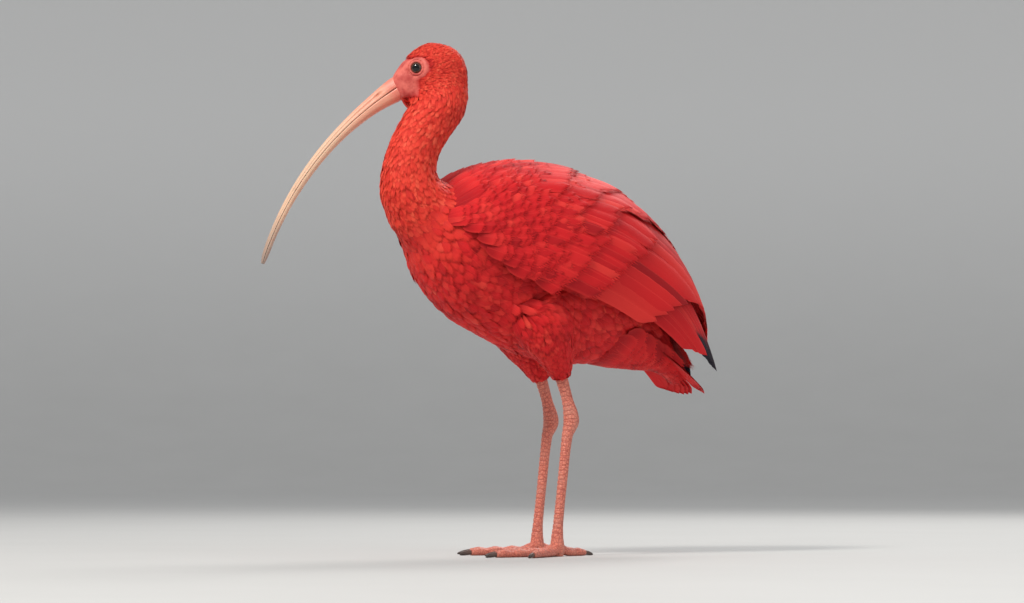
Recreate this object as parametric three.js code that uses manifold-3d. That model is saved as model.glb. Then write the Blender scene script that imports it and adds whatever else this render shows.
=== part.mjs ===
// A scarlet ibis at life size, standing on both feet with its head turned to its right.
// Millimetres, +Z up, floor at z = 0. The bird faces +X and its left side is towards +Y.
import * as THREE from "three";
import { LoftGeometry } from "three/addons/geometries/LoftGeometry.js";
import { mergeVertices } from "three/addons/utils/BufferGeometryUtils.js";
import Module from "manifold-3d";

const wasm = await Module();
wasm.setup();

// Driving dimensions
const GAP = 0.35; // clearance between neighbouring pieces
const BREAST = new THREE.Vector3(120, 0, 236); // front end of the trunk's axis
const FRONT_SLOPE = 5; // degrees that the trunk's axis falls at the breast
const TAIL_SLOPE = 42; // degrees that it falls at the tail tip
const TRUNK_END = 200; // where the trunk's flesh gives way to the tail
const TAIL_REACH = 288; // tail tip, along the trunk's axis
const WING_REACH = 284; // folded wing tip, along the trunk's axis
const HEAD_CENTRE = new THREE.Vector3(98, -6, 344);
const HEAD_TURN = 35; // degrees to the bird's right
const HEAD_PITCH = 18; // degrees that the face looks down
const EYE_RADIUS = 4.9;
const FACE_FRONT = 29.5; // from the middle of the head to the root of the bill
const BILL_LENGTH = 158; // along the curve
const BILL_START_PITCH = 33; // degrees below level at the base
const BILL_END_PITCH = 73; // degrees below level at the tip
const FOOT_SPREAD = 25; // each foot's distance from the midline
const ANKLE_HEIGHT = 97;

// Where the floor under the middle of the bird lies in the frame above
const STAND_CENTRE = new THREE.Vector3(27.6, -9, 0);

const SCARLET = 0xd8202a;
const NECK_RED = 0xe2402f;
const BILL_PEACH = 0xe0a27c;
const LEG_CORAL = 0xd9755c;
const CLAW_DARK = 0x4a3530;
const EYE_DARK = 0x1c1210;
const INK_BLUE = 0x15131c;

const LEFT = 1;
const RIGHT = -1;
const SIDES = [["left", LEFT], ["right", RIGHT]];

const rad = THREE.MathUtils.degToRad;
const lerp = THREE.MathUtils.lerp;
const clamp = THREE.MathUtils.clamp;

// Solids

// A closed geometry as a solid, with shared corners merged and collapsed triangles dropped.
function solid(geometry) {
  const bare = new THREE.BufferGeometry();
  bare.setAttribute("position", geometry.attributes.position);
  bare.setIndex(geometry.index);
  const merged = mergeVertices(bare, 1e-4);
  const index = merged.index.array;
  const kept = [];
  for (let i = 0; i < index.length; i += 3) {
    const [a, b, c] = [index[i], index[i + 1], index[i + 2]];
    if (a !== b && b !== c && c !== a) kept.push(a, b, c);
  }
  const make = (triangles) => new wasm.Manifold(new wasm.Mesh({
    numProp: 3,
    vertProperties: merged.attributes.position.array,
    triVerts: new Uint32Array(triangles),
  }));
  const made = make(kept);
  return made.volume() < 0 ? make(kept.reverse()) : made;
}

// The largest closed surface of a solid, without loose scraps or sealed hollows.
function largest(whole) {
  return whole.decompose().sort((a, b) => b.volume() - a.volume())[0];
}

function geometryOf(whole) {
  const mesh = whole.getMesh();
  const geometry = new THREE.BufferGeometry();
  geometry.setAttribute("position", new THREE.BufferAttribute(mesh.vertProperties, 3));
  geometry.setIndex(new THREE.BufferAttribute(mesh.triVerts, 1));
  geometry.computeVertexNormals();
  return geometry;
}

function join(solids) {
  return solids.reduce((whole, piece) => whole.add(piece));
}

// A smooth value through [position, value] pairs, level past both ends.
function through(pairs) {
  const last = pairs.length - 1;
  const slope = (i) => {
    const before = pairs[Math.max(i - 1, 0)];
    const after = pairs[Math.min(i + 1, last)];
    return (after[1] - before[1]) / (after[0] - before[0]);
  };
  return (x) => {
    let i = 0;
    while (i < last - 1 && x > pairs[i + 1][0]) i += 1;
    const [x0, y0] = pairs[i];
    const [x1, y1] = pairs[i + 1];
    const span = x1 - x0;
    const t = clamp((x - x0) / span, 0, 1);
    const s = 1 - t;
    return s * s * (1 + 2 * t) * y0 + t * t * (3 - 2 * t) * y1
      + span * t * s * (s * slope(i) - t * slope(i + 1));
  };
}

function centroid(points) {
  return points.reduce((sum, point) => sum.add(point), new THREE.Vector3()).divideScalar(points.length);
}

// A closed loft through rings, each made by ring(t) with t from 0 to 1, in either winding.
function loft(steps, ring) {
  const sections = Array.from({ length: steps + 1 }, (_, i) => ring(i / steps));
  const [first, next] = sections;
  const middle = centroid(first);
  const third = Math.floor(first.length / 3);
  const facing = first[0].clone().sub(middle).cross(first[third].clone().sub(middle));
  if (facing.dot(centroid(next).sub(middle)) < 0) sections.forEach((section) => section.reverse());
  return solid(new LoftGeometry(sections, { capStart: true, capEnd: true }));
}

// A thin closed body between two faces of one grid, split into triangles alike on both.
// point(p, q, face) has p from -1 to 1 across, q from 0 to 1 along, and face 1 above or -1 below.
function sheet(across, along, point) {
  const grid = new THREE.PlaneGeometry(2, 1, across, along);
  const spots = grid.attributes.position;
  const count = spots.count;
  const places = [];
  for (const face of [1, -1]) {
    for (let i = 0; i < count; i += 1) {
      places.push(...point(spots.getX(i), 0.5 - spots.getY(i), face).toArray());
    }
  }
  const upper = Array.from(grid.index.array);
  const lower = upper.map((i) => i + count).reverse();
  const row = across + 1;
  const rim = [];
  for (let i = 0; i < across; i += 1) rim.push(i);
  for (let j = 0; j < along; j += 1) rim.push(j * row + across);
  for (let i = across; i > 0; i -= 1) rim.push(along * row + i);
  for (let j = along; j > 0; j -= 1) rim.push(j * row);
  const edge = rim.flatMap((a, k) => {
    const b = rim[(k + 1) % rim.length];
    return [a, b + count, b, a, a + count, b + count];
  });
  const geometry = new THREE.BufferGeometry();
  geometry.setAttribute("position", new THREE.Float32BufferAttribute(places, 3));
  geometry.setIndex([...upper, ...lower, ...edge.reverse()]);
  return solid(geometry);
}

// The trunk: positions run back along its axis from the breast, in millimetres

const frontSlope = rad(FRONT_SLOPE);
const AXIS_RADIUS = TAIL_REACH / (rad(TAIL_SLOPE) - frontSlope);

// A point by its distance back along the axis, which is an arc, and its offsets to the left and up.
function bodyPoint(back, leftward, up) {
  const slope = frontSlope + back / AXIS_RADIUS;
  return new THREE.Vector3(
    BREAST.x - AXIS_RADIUS * (Math.sin(slope) - Math.sin(frontSlope)) - up * Math.sin(slope),
    leftward,
    BREAST.z - AXIS_RADIUS * (Math.cos(frontSlope) - Math.cos(slope)) + up * Math.cos(slope),
  );
}

// Heights over and under the axis and half widths of the fleshed and feathered trunk
const TRUNK = {
  top: through([
    [0, 8], [4, 15], [17, 26], [36, 38], [63, 49], [89, 55],
    [115, 57], [142, 56], [168, 48], [200, 33],
  ]),
  bottom: through([
    [0, 10], [4, 22], [17, 41], [40, 58], [63, 65], [89, 68],
    [115, 69], [142, 67], [168, 59], [200, 40],
  ]),
  half: through([
    [0, 9], [4, 21], [15, 34], [30, 41], [50, 43], [75, 44],
    [110, 44], [145, 41], [175, 34], [200, 26],
  ]),
};
const TRUNK_STATIONS = [0, 2, 6, 13, 24, 40, 60, 85, 110, 133, 154, 173, 188, TRUNK_END];

// The surface that the folded wings lie on: the trunk, then a taper over the tail
const CLOAK = {
  top: through([
    [0, 8], [17, 26], [36, 38], [63, 49], [89, 55], [115, 58],
    [142, 61], [168, 59], [215, 46], [250, 29], [290, 9],
  ]),
  bottom: through([
    [0, 10], [17, 41], [40, 58], [63, 65], [89, 68], [115, 69],
    [142, 67], [168, 59], [215, 42], [250, 25], [290, 8],
  ]),
  half: through([
    [0, 9], [15, 34], [30, 41], [50, 43], [75, 44], [110, 45],
    [145, 43], [175, 38], [215, 32], [250, 24], [290, 12],
  ]),
};

// A point at an angle round the trunk, from 0 at the back to 180 at the belly, lifted off it.
function around(form, back, degrees, lift, side) {
  const angle = rad(degrees);
  const height = (Math.cos(angle) >= 0 ? form.top(back) : form.bottom(back)) + lift;
  return bodyPoint(back, side * (form.half(back) + lift) * Math.sin(angle), height * Math.cos(angle));
}

// Millimetres round the cloak for each degree there.
function girth(back, degrees) {
  const angle = rad(degrees);
  return rad(1) * Math.hypot(CLOAK.half(back) * Math.cos(angle), CLOAK.top(back) * Math.sin(angle));
}

function trunk(grow) {
  const sides = 24;
  return loft(TRUNK_STATIONS.length - 1, (t) => {
    const back = TRUNK_STATIONS[Math.round(t * (TRUNK_STATIONS.length - 1))];
    return Array.from({ length: sides }, (_, i) => around(TRUNK, back, (i * 360) / sides, grow, LEFT));
  });
}

// The neck: a tube on a curve in the midline, with its radius at each knot
const NECK_KNOTS = [
  [62, 224, 34],
  [96, 236, 31],
  [119, 252, 24],
  [123, 272, 19.5],
  [116, 292, 17.8],
  [104, 310, 18.2],
  [91, 327, 19],
  [86, 343, 14],
];
const NECK_CURVE = new THREE.CatmullRomCurve3(NECK_KNOTS.map(([x, z]) => new THREE.Vector3(x, 0, z)));
const NECK_RADIUS = through(NECK_KNOTS.map(([, , radius], i) => [i / (NECK_KNOTS.length - 1), radius]));

function neck(grow) {
  const sides = 16;
  return loft(12, (t) => {
    const centre = NECK_CURVE.getPoint(t);
    const along = NECK_CURVE.getTangent(t);
    const sideways = new THREE.Vector3(0, 1, 0);
    const forward = new THREE.Vector3().crossVectors(sideways, along);
    const radius = NECK_RADIUS(t) + grow;
    return Array.from({ length: sides }, (_, i) => {
      const angle = (i * 2 * Math.PI) / sides;
      return centre.clone()
        .addScaledVector(sideways, radius * 0.96 * Math.cos(angle))
        .addScaledVector(forward, radius * Math.sin(angle));
    });
  });
}

// The head, in its own frame: x forward, y to its left, z up
const HEAD_FRAME = new THREE.Matrix4()
  .makeTranslation(HEAD_CENTRE)
  .multiply(new THREE.Matrix4().makeRotationZ(rad(-HEAD_TURN)))
  .multiply(new THREE.Matrix4().makeRotationY(rad(HEAD_PITCH)));

function headPoint(forward, leftward, up) {
  return new THREE.Vector3(forward, leftward, up).applyMatrix4(HEAD_FRAME);
}

const HEAD = {
  top: through([[-33, 4], [-29, 10], [-20, 17], [-6, 21.5], [8, 20], [20, 13], [30, 5]]),
  bottom: through([[-33, 4], [-29, 9], [-20, 14], [-6, 17.5], [8, 19], [20, 17], [30, 14]]),
  half: through([[-33, 4], [-29, 9], [-20, 14], [-6, 17], [8, 15.5], [20, 11], [30, 7]]),
};
const HEAD_STATIONS = [-33, -31.5, -28, -22, -14, -5, 4, 12, 19, 25, 30];
const EYE_PLACE = new THREE.Vector3(10, 11.3, 5);

function skull() {
  const sides = 18;
  return loft(HEAD_STATIONS.length - 1, (t) => {
    const forward = HEAD_STATIONS[Math.round(t * (HEAD_STATIONS.length - 1))];
    return Array.from({ length: sides }, (_, i) => {
      const angle = (i * 2 * Math.PI) / sides;
      const height = Math.cos(angle) >= 0 ? HEAD.top(forward) : HEAD.bottom(forward);
      return headPoint(forward, HEAD.half(forward) * Math.sin(angle), height * Math.cos(angle));
    });
  });
}

function ball(radius, centre, segments) {
  return solid(new THREE.SphereGeometry(radius, segments, segments / 2).translate(...centre.toArray()));
}

function eyeCentre(side) {
  return headPoint(EYE_PLACE.x, side * EYE_PLACE.y, EYE_PLACE.z);
}

// A lid round each eye, its ring facing out and a little forward.
function lid(side) {
  const ring = new THREE.TorusGeometry(EYE_RADIUS + 0.1, 1.15, 5, 14);
  ring.rotateX(-side * rad(90)).rotateZ(-side * rad(12));
  ring.translate(EYE_PLACE.x + 0.6, side * (EYE_PLACE.y + 2.6), EYE_PLACE.z);
  return solid(ring.applyMatrix4(HEAD_FRAME));
}

// The bill: a long arc below the head's axis, bending down to its tip

const BILL_ROOT = new THREE.Vector3(FACE_FRONT + 1, 0, -3.5);
const billStart = BILL_START_PITCH - HEAD_PITCH;
const billBend = BILL_END_PITCH - BILL_START_PITCH;

// The bill's middle line in the head's frame, t from 0 at the base to 1 at the tip.
function billLine(t) {
  const radius = BILL_LENGTH / rad(billBend);
  const from = rad(billStart);
  const to = from + rad(billBend) * t;
  return {
    at: new THREE.Vector3(
      BILL_ROOT.x + radius * (Math.sin(to) - Math.sin(from)),
      0,
      BILL_ROOT.z - radius * (Math.cos(from) - Math.cos(to)),
    ),
    up: new THREE.Vector3(Math.sin(to), 0, Math.cos(to)),
  };
}

const BILL = {
  above: through([[0, 8.4], [0.12, 6.6], [0.3, 5], [0.6, 3.7], [0.85, 2.8], [0.96, 2.3], [1, 1.2]]),
  below: through([[0, 8.2], [0.12, 5.8], [0.3, 4], [0.6, 3], [0.85, 2.3], [0.96, 1.9], [1, 0.9]]),
  half: through([[0, 7], [0.12, 5.6], [0.3, 4.5], [0.6, 3.6], [0.85, 3], [0.96, 2.6], [1, 1.3]]),
};

// A block across the head, between two distances forward of its middle.
function faceBlock(from, to) {
  const block = new THREE.BoxGeometry(to - from, 34, 36).translate((from + to) / 2, 0, -2);
  return solid(block.applyMatrix4(HEAD_FRAME));
}

// A bill outline with a groove along each side of the upper half.
function billRing(t) {
  const sides = 16;
  const { at, up } = billLine(t);
  return Array.from({ length: sides }, (_, i) => {
    const angle = (i * 2 * Math.PI) / sides;
    const rise = Math.cos(angle);
    const height = rise >= 0 ? BILL.above(t) : BILL.below(t);
    const groove = rise > 0.3 && rise < 0.7 ? 0.9 : 1;
    const point = at.clone().addScaledVector(up, rise * height * groove);
    point.y += Math.sin(angle) * BILL.half(t) * groove;
    return point.applyMatrix4(HEAD_FRAME);
  });
}

function bill() {
  const whole = loft(18, (t) => billRing(lerp(-0.04, 1, t)));
  return whole.subtract(faceBlock(FACE_FRONT - 20, FACE_FRONT + GAP));
}

// The line of the mouth, as the thin cut between the two halves of the bill.
function mouthCut() {
  const wide = 12;
  const before = -0.02;
  const past = 1.02;
  const line = (q) => lerp(before, past, q);
  return sheet(1, 18, (p, q, face) => {
    const { at, up } = billLine(line(q));
    return at.clone().addScaledVector(up, (face * GAP) / 2 - 0.4)
      .add(new THREE.Vector3(0, p * wide, 0)).applyMatrix4(HEAD_FRAME);
  });
}

function nostril(side) {
  const { at, up } = billLine(0.075);
  const slit = new THREE.SphereGeometry(1, 10, 6).scale(4.2, 1.1, 0.75);
  slit.rotateY(rad(billStart + 2));
  const centre = at.clone().addScaledVector(up, 4.2);
  slit.translate(centre.x, side * 5.1, centre.z);
  return solid(slit.applyMatrix4(HEAD_FRAME));
}

// A thin round cut across the neck, square to its curve.
function neckCut(t, radius) {
  const disc = new THREE.CylinderGeometry(radius, radius, GAP, 24);
  const upright = new THREE.Vector3(0, 1, 0);
  const turn = new THREE.Quaternion().setFromUnitVectors(upright, NECK_CURVE.getTangent(t));
  disc.applyQuaternion(turn).translate(...NECK_CURVE.getPoint(t).toArray());
  return solid(disc);
}

const NECK_BASE = 0.26; // shares of the neck's curve where it is parted
const NECK_MIDDLE = 0.48;
const NECK_TOP = 0.74;

// The head, the neck's two lengths and the trunk, made whole and parted by thin cuts.
function flesh() {
  const sockets = SIDES.map(([, side]) => ball(EYE_RADIUS + GAP, eyeCentre(side), 12));
  const lids = SIDES.map(([, side]) => lid(side));
  let whole = join([trunk(0), neck(0), skull(), ...lids]);
  for (const cutter of [...sockets, faceBlock(FACE_FRONT, FACE_FRONT + 20)]) whole = whole.subtract(cutter);
  for (const [t, radius] of [[NECK_BASE, 46], [NECK_MIDDLE, 24], [NECK_TOP, 25]]) {
    whole = whole.subtract(neckCut(t, radius));
  }
  const pieces = whole.decompose().sort((a, b) => b.volume() - a.volume()).slice(0, 4);
  const height = (piece) => piece.boundingBox().min[2];
  const [torso, ...upward] = pieces.sort((a, b) => height(a) - height(b));
  const [neckLower, neckUpper, head] = upward;
  return { torso, neckLower, neckUpper, head };
}

// Feathers

// A repeatable run of numbers from 0 to 1.
function draws(seed) {
  let state = seed;
  return () => {
    state = (state * 16807) % 2147483647;
    return state / 2147483647;
  };
}

const VANE_OUTLINE = through([[0, 0.5], [0.25, 0.85], [0.6, 1], [0.86, 0.9], [1, 0.42]]);
const VANE_TAPER = through([[0, 1], [0.6, 0.9], [1, 0.6]]);

const SEAM_ANGLE = 2; // degrees round the trunk that each wing keeps from the middle of the back

// One feather on the cloak, from root to tip, each a distance back and an angle round.
// Its lower edge is raised by the tilt, so that it lies over the next feather down.
function vane(side, { root, tip, half, lift, tilt, thick }) {
  return sheet(2, 3, (p, q, face) => {
    const back = lerp(root[0], tip[0], q);
    const degrees = lerp(root[1], tip[1], q);
    const out = p * half * VANE_OUTLINE(q);
    const drop = 0.012 * half * p * p * q;
    const turned = Math.max(degrees + out / girth(back, degrees), SEAM_ANGLE);
    const height = lift(back) + tilt * out + (face * thick * VANE_TAPER(q)) / 2;
    return around(CLOAK, back - drop, turned, height, side);
  });
}

// A tier of feathers, evenly spaced between its first and last, each varied a little.
// Each lies lower than the last by the step.
function tier(side, { count, roots, tips, half, lift, step, tilt, thick, vary }, seed) {
  const draw = draws(seed);
  const between = ([first, last], share) => first.map((value, i) => lerp(value, last[i], share));
  return Array.from({ length: count }, (_, i) => {
    const share = i / (count - 1);
    const tip = between(tips, share);
    tip[0] += vary * (draw() - 0.5);
    const own = { root: between(roots, share), tip, half: half * (0.96 + 0.08 * draw()), tilt, thick };
    return vane(side, { ...own, lift: (back) => lift(back) - step * i });
  });
}

// Tiers of the folded wing, each from its lowest feather up to the back, with its height by distance back
const SECONDARIES = {
  count: 8, roots: [[64, 102], [112, 44]], tips: [[192, 97], [264, 12]], half: 9.5,
  lift: through([[60, 4], [120, 4.2], [160, 6], [270, 6]]), step: -0.25, tilt: 0.2, thick: 0.6, vary: 3,
};
const GREATER_COVERTS = {
  count: 6, roots: [[66, 101], [94, 64]], tips: [[138, 101], [172, 64]], half: 9.2,
  lift: through([[66, 5.2], [106, 6], [140, 10.2], [175, 12]]), step: 0, tilt: 0.2, thick: 0.6, vary: 4,
};
const MEDIAN_COVERTS = {
  count: 5, roots: [[46, 100], [72, 64]], tips: [[100, 101], [124, 66]], half: 9.2,
  lift: through([[46, 4], [82, 6], [125, 12.4]]), step: 0, tilt: 0.2, thick: 0.6, vary: 3,
};
const LESSER_COVERTS = {
  count: 5, roots: [[26, 98], [50, 62]], tips: [[66, 101], [90, 64]], half: 8.8,
  lift: through([[24, 2.6], [54, 5.6], [92, 12.6]]), step: 0, tilt: 0.2, thick: 0.6, vary: 3,
};
const SCAPULARS = {
  count: 4, roots: [[76, 43], [90, 15]], tips: [[160, 42], [210, 11]], half: 9,
  lift: through([[76, 5.4], [106, 6.4], [140, 10.8], [206, 12.6]]), step: 0, tilt: 0.2, thick: 0.6, vary: 4,
};
const PRIMARIES = {
  count: 5, roots: [[164, 90], [176, 66]], tips: [[246, 90], [WING_REACH, 62]], half: 6.4,
  lift: through([[160, 3.5], [290, 3.5]]), step: 0.85, tilt: 0.04, thick: 0.5, vary: 1,
};
const WING_CORE_END = 141; // how far back the wing's solid shoulder and forearm reach
const PRIMARY_CORE = [150, 186];

// A solid pad from the trunk up to a height over the cloak, between two distances back.
function pad(side, [from, to], upper, lower, height, rows) {
  return sheet(6, rows, (p, q, face) => {
    const back = lerp(from, to, q);
    const degrees = lerp(upper(back), lower(back), (p + 1) / 2);
    if (face < 0) return around(TRUNK, back, degrees, -1, side);
    return around(CLOAK, back, degrees, 0.4 + height(back) * (0.72 + 0.28 * Math.sqrt(1 - p * p)), side);
  });
}

function wing(side, body) {
  const upper = through([[9, 76], [42, 42], [78, 20], [WING_CORE_END, 14]]);
  const lower = through([[9, 90], [42, 110], [92, 111], [WING_CORE_END, 104]]);
  const height = through([[9, 1.5], [24, 5], [60, 8], [100, 8], [125, 6.6], [WING_CORE_END, 5.2]]);
  const core = pad(side, [9, WING_CORE_END], upper, lower, height, 9);
  const tiers = [SECONDARIES, GREATER_COVERTS, MEDIAN_COVERTS, LESSER_COVERTS, SCAPULARS];
  const vanes = tiers.flatMap((spec, i) => tier(side, spec, 11 + i));
  return largest(join([core, ...vanes]).subtract(body).subtract(thigh(side, GAP)));
}

function primaries(side, body) {
  const height = through([[150, 1.2], [165, 2.8], [186, 2.8]]);
  const core = pad(side, PRIMARY_CORE, () => 58, () => 98, height, 3);
  return largest(join([core, ...tier(side, PRIMARIES, 31)]).subtract(body));
}

const TAIL_RANKS = 6; // tail feathers on each side
const TAIL_DROP = 6; // how far the tail lies below the trunk's axis

// One tail feather; rank 0 is the middle pair, which lies on top.
function rectrix(side, rank) {
  const half = 6.6;
  const reach = TAIL_REACH - 0.5 * rank * rank;
  return sheet(2, 3, (p, q, face) => {
    const back = lerp(214, reach - 3 * p * p * q, q);
    const shaft = lerp(4.2 + 1.2 * rank, 6.9 + 2.7 * rank, q);
    const out = shaft + p * lerp(0.55, 1, q) * half * (q > 0.9 ? 0.72 : 1);
    const up = -TAIL_DROP - 1.05 * rank - 0.004 * out * out + face * 0.3;
    return bodyPoint(back, side * out, up);
  });
}

// A feather over or under the root of the tail.
function tailCovert(place, above) {
  const facing = above ? 1 : -1;
  return sheet(2, 3, (p, q, face) => {
    const back = lerp(212, above ? 262 : 266, q);
    const out = place * lerp(0.6, 1, q) + p * 5.2 * VANE_OUTLINE(q);
    const clear = above ? 2 : 9.4;
    const start = above ? 10 : 15;
    const clearance = lerp(start, clear, Math.min(1.2 * q, 1)) - 0.006 * out * out;
    const up = -TAIL_DROP + facing * clearance + 0.45 * p;
    return bodyPoint(back, out, up + face * 0.3);
  });
}

function tail() {
  const top = through([[TRUNK_END, 32], [225, 14], [250, -2]]);
  const bottom = through([[TRUNK_END, 39], [225, 27], [250, 13]]);
  const half = through([[TRUNK_END, 25], [225, 18], [250, 11]]);
  const sides = 16;
  const rump = loft(5, (t) => {
    const back = lerp(TRUNK_END + GAP, 250, t);
    return Array.from({ length: sides }, (_, i) => {
      const angle = (i * 2 * Math.PI) / sides;
      const middle = (top(back) - bottom(back)) / 2;
      const height = (top(back) + bottom(back)) / 2;
      return bodyPoint(back, half(back) * Math.sin(angle), middle + height * Math.cos(angle));
    });
  });
  const ranks = Array.from({ length: TAIL_RANKS }, (_, rank) => rank);
  const rectrices = SIDES.flatMap(([, side]) => ranks.map((rank) => rectrix(side, rank)));
  const coverts = [-10, 0, 10].flatMap((place) => [tailCovert(place, true), tailCovert(place, false)]);
  return largest(join([rump, ...rectrices, ...coverts]));
}

// Legs and feet

const FOOT_X = { [LEFT]: 12, [RIGHT]: -6 };

function tube(knots, sides, steps) {
  const curve = new THREE.CatmullRomCurve3(knots.map(([x, y, z]) => new THREE.Vector3(x, y, z)));
  const radius = through(knots.map((knot, i) => [i / (knots.length - 1), knot[3]]));
  return loft(steps, (t) => {
    const along = curve.getTangent(t);
    const sideways = new THREE.Vector3(0, 1, 0).addScaledVector(along, -along.y).normalize();
    const forward = new THREE.Vector3().crossVectors(sideways, along);
    return Array.from({ length: sides }, (_, i) => {
      const angle = (i * 2 * Math.PI) / sides;
      return curve.getPoint(t)
        .addScaledVector(sideways, radius(t) * Math.cos(angle))
        .addScaledVector(forward, radius(t) * Math.sin(angle));
    });
  });
}

const THIGH_END = 126; // height of the lower edge of the thigh's feathers

// The feathered thigh, from inside the flank down to a cuff above the bare shank.
function thigh(side, grow) {
  const x = FOOT_X[side];
  const y = side * FOOT_SPREAD;
  return tube([
    [x + 24, y * 1.05, 185, 21 + grow],
    [x + 12, y * 1.08, 160, 20 + grow],
    [x + 2, y * 1.05, 142, 13 + grow],
    [x - 5, y, THIGH_END - grow, 7.2 + grow],
  ], 16, 9);
}

// The bare shank, with the swelling of the ankle, down to the root of the toes.
function shank(side) {
  const x = FOOT_X[side];
  const y = side * FOOT_SPREAD;
  return tube([
    [x - 5.2, y, THIGH_END - GAP - 1, 4.4],
    [x - 9, y, 112, 4],
    [x - 12.5, y, ANKLE_HEIGHT, 5.6],
    [x - 9, y, 86, 3.9],
    [x - 5, y, 56, 3.4],
    [x - 1, y, 24, 3.5],
    [x, y, 12, 4.4],
  ], 10, 14);
}

// Toe name: heading in degrees from straight ahead (towards the bird's middle), length, pads
const TOES = [
  ["middle", -4, 56, 4],
  ["inner", 26, 43, 3],
  ["outer", -34, 49, 4],
  ["hind", 168, 29, 2],
];
const TOE_RADIUS = 3.3;
const CLAW_LENGTH = 9;

function toeLine(side, heading) {
  const turn = -side * rad(heading);
  const root = new THREE.Vector3(FOOT_X[side], side * FOOT_SPREAD, 0);
  const forward = new THREE.Vector3(Math.cos(turn), Math.sin(turn), 0);
  return (distance, height) => root.clone().addScaledVector(forward, distance).setZ(height);
}

function toe(side, [, heading, length, pads]) {
  const at = toeLine(side, heading);
  const sides = 6;
  const curve = new THREE.CatmullRomCurve3([
    at(-1, 9), at(5, 5), at(12, 2.7), at(length * 0.6, 2.4), at(length, 2.2),
  ]);
  return loft(3 * pads, (t) => {
    const along = curve.getTangent(t);
    const sideways = new THREE.Vector3(-along.y, along.x, 0).normalize();
    const upward = new THREE.Vector3().crossVectors(along, sideways);
    const joint = 0.5 + 0.5 * Math.cos(t * pads * 2 * Math.PI);
    const radius = lerp(TOE_RADIUS, TOE_RADIUS * 0.68, t) * (0.86 + 0.16 * joint);
    return Array.from({ length: sides }, (_, i) => {
      const angle = ((i + 0.5) * 2 * Math.PI) / sides;
      return curve.getPoint(t)
        .addScaledVector(sideways, radius * Math.cos(angle))
        .addScaledVector(upward, radius * Math.sin(angle));
    });
  });
}

// The small web between the roots of two front toes.
function web(side, first, second) {
  const reach = 17;
  const one = toeLine(side, first[1]);
  const two = toeLine(side, second[1]);
  return sheet(2, 3, (p, q, face) => {
    const distance = lerp(1, reach - 5 * (1 - p * p), q);
    const height = 1.6 + face * 0.6;
    return one(distance, height).lerp(two(distance, height), (p + 1) / 2);
  });
}

function foot(side) {
  const x = FOOT_X[side];
  const y = side * FOOT_SPREAD;
  const [middle, inner, outer] = TOES;
  const sole = ball(5.2, new THREE.Vector3(x, y, 4.2), 12);
  const floor = solid(new THREE.BoxGeometry(240, 240, 20).translate(x, y, -10));
  const ankleCut = solid(new THREE.BoxGeometry(30, 30, 20).translate(x, y, 12 + 10 - GAP));
  const toes = TOES.map((spec) => toe(side, spec));
  const webs = [web(side, middle, inner), web(side, middle, outer)];
  return largest(join([sole, ...toes, ...webs]).subtract(floor).subtract(ankleCut));
}

function claw(side, [, heading, length]) {
  const at = toeLine(side, heading);
  const sides = 6;
  const thick = TOE_RADIUS * 0.6;
  return loft(4, (t) => {
    const centre = at(length + GAP + CLAW_LENGTH * t, lerp(2.3, 0.75, t * t));
    const sideways = at(1, 0).sub(at(0, 0)).cross(new THREE.Vector3(0, 0, 1));
    const radius = thick * (1 - 0.78 * t);
    return Array.from({ length: sides }, (_, i) => {
      const angle = ((i + 0.5) * 2 * Math.PI) / sides;
      const point = centre.clone().addScaledVector(sideways, radius * 0.8 * Math.cos(angle));
      point.z = Math.max(point.z + radius * Math.sin(angle), 0.15);
      return point;
    });
  });
}

// The scene

const bird = new THREE.Group();

function show(name, whole, color, roughness) {
  const finish = new THREE.MeshStandardMaterial({ color, roughness, metalness: 0 });
  const mesh = new THREE.Mesh(geometryOf(whole), finish);
  mesh.name = name;
  bird.add(mesh);
}

const { torso, neckLower, neckUpper, head } = flesh();
const bodyGrown = trunk(GAP).add(neck(GAP));
const [billUpper, billLower] = largest(bill().subtract(nostril(LEFT)).subtract(nostril(RIGHT)))
  .subtract(mouthCut()).decompose()
  .sort((a, b) => b.volume() - a.volume()).slice(0, 2)
  .sort((a, b) => b.boundingBox().max[2] - a.boundingBox().max[2]);

show("torso", torso, SCARLET, 0.8);
show("neck_lower", neckLower, NECK_RED, 0.8);
show("neck_upper", neckUpper, NECK_RED, 0.8);
show("head", head, NECK_RED, 0.8);
show("bill_upper", billUpper, BILL_PEACH, 0.45);
show("bill_lower", billLower, BILL_PEACH, 0.45);
show("tail", tail(), SCARLET, 0.75);
for (const [name, side] of SIDES) {
  show(`eye_${name}`, ball(EYE_RADIUS, eyeCentre(side), 12), EYE_DARK, 0.1);
  show(`wing_${name}`, wing(side, bodyGrown), SCARLET, 0.7);
  show(`primaries_${name}`, primaries(side, bodyGrown), INK_BLUE, 0.6);
  show(`thigh_${name}`, largest(thigh(side, 0).subtract(bodyGrown)), SCARLET, 0.8);
  show(`shank_${name}`, shank(side), LEG_CORAL, 0.6);
  show(`foot_${name}`, foot(side), LEG_CORAL, 0.6);
  for (const spec of TOES) show(`claw_${name}_${spec[0]}`, claw(side, spec), CLAW_DARK, 0.4);
}
bird.position.copy(STAND_CENTRE).negate();

export default bird;
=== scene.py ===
import math

import bmesh
import bpy
import numpy as np
from mathutils import Matrix, Vector
from mathutils.bvhtree import BVHTree


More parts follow.
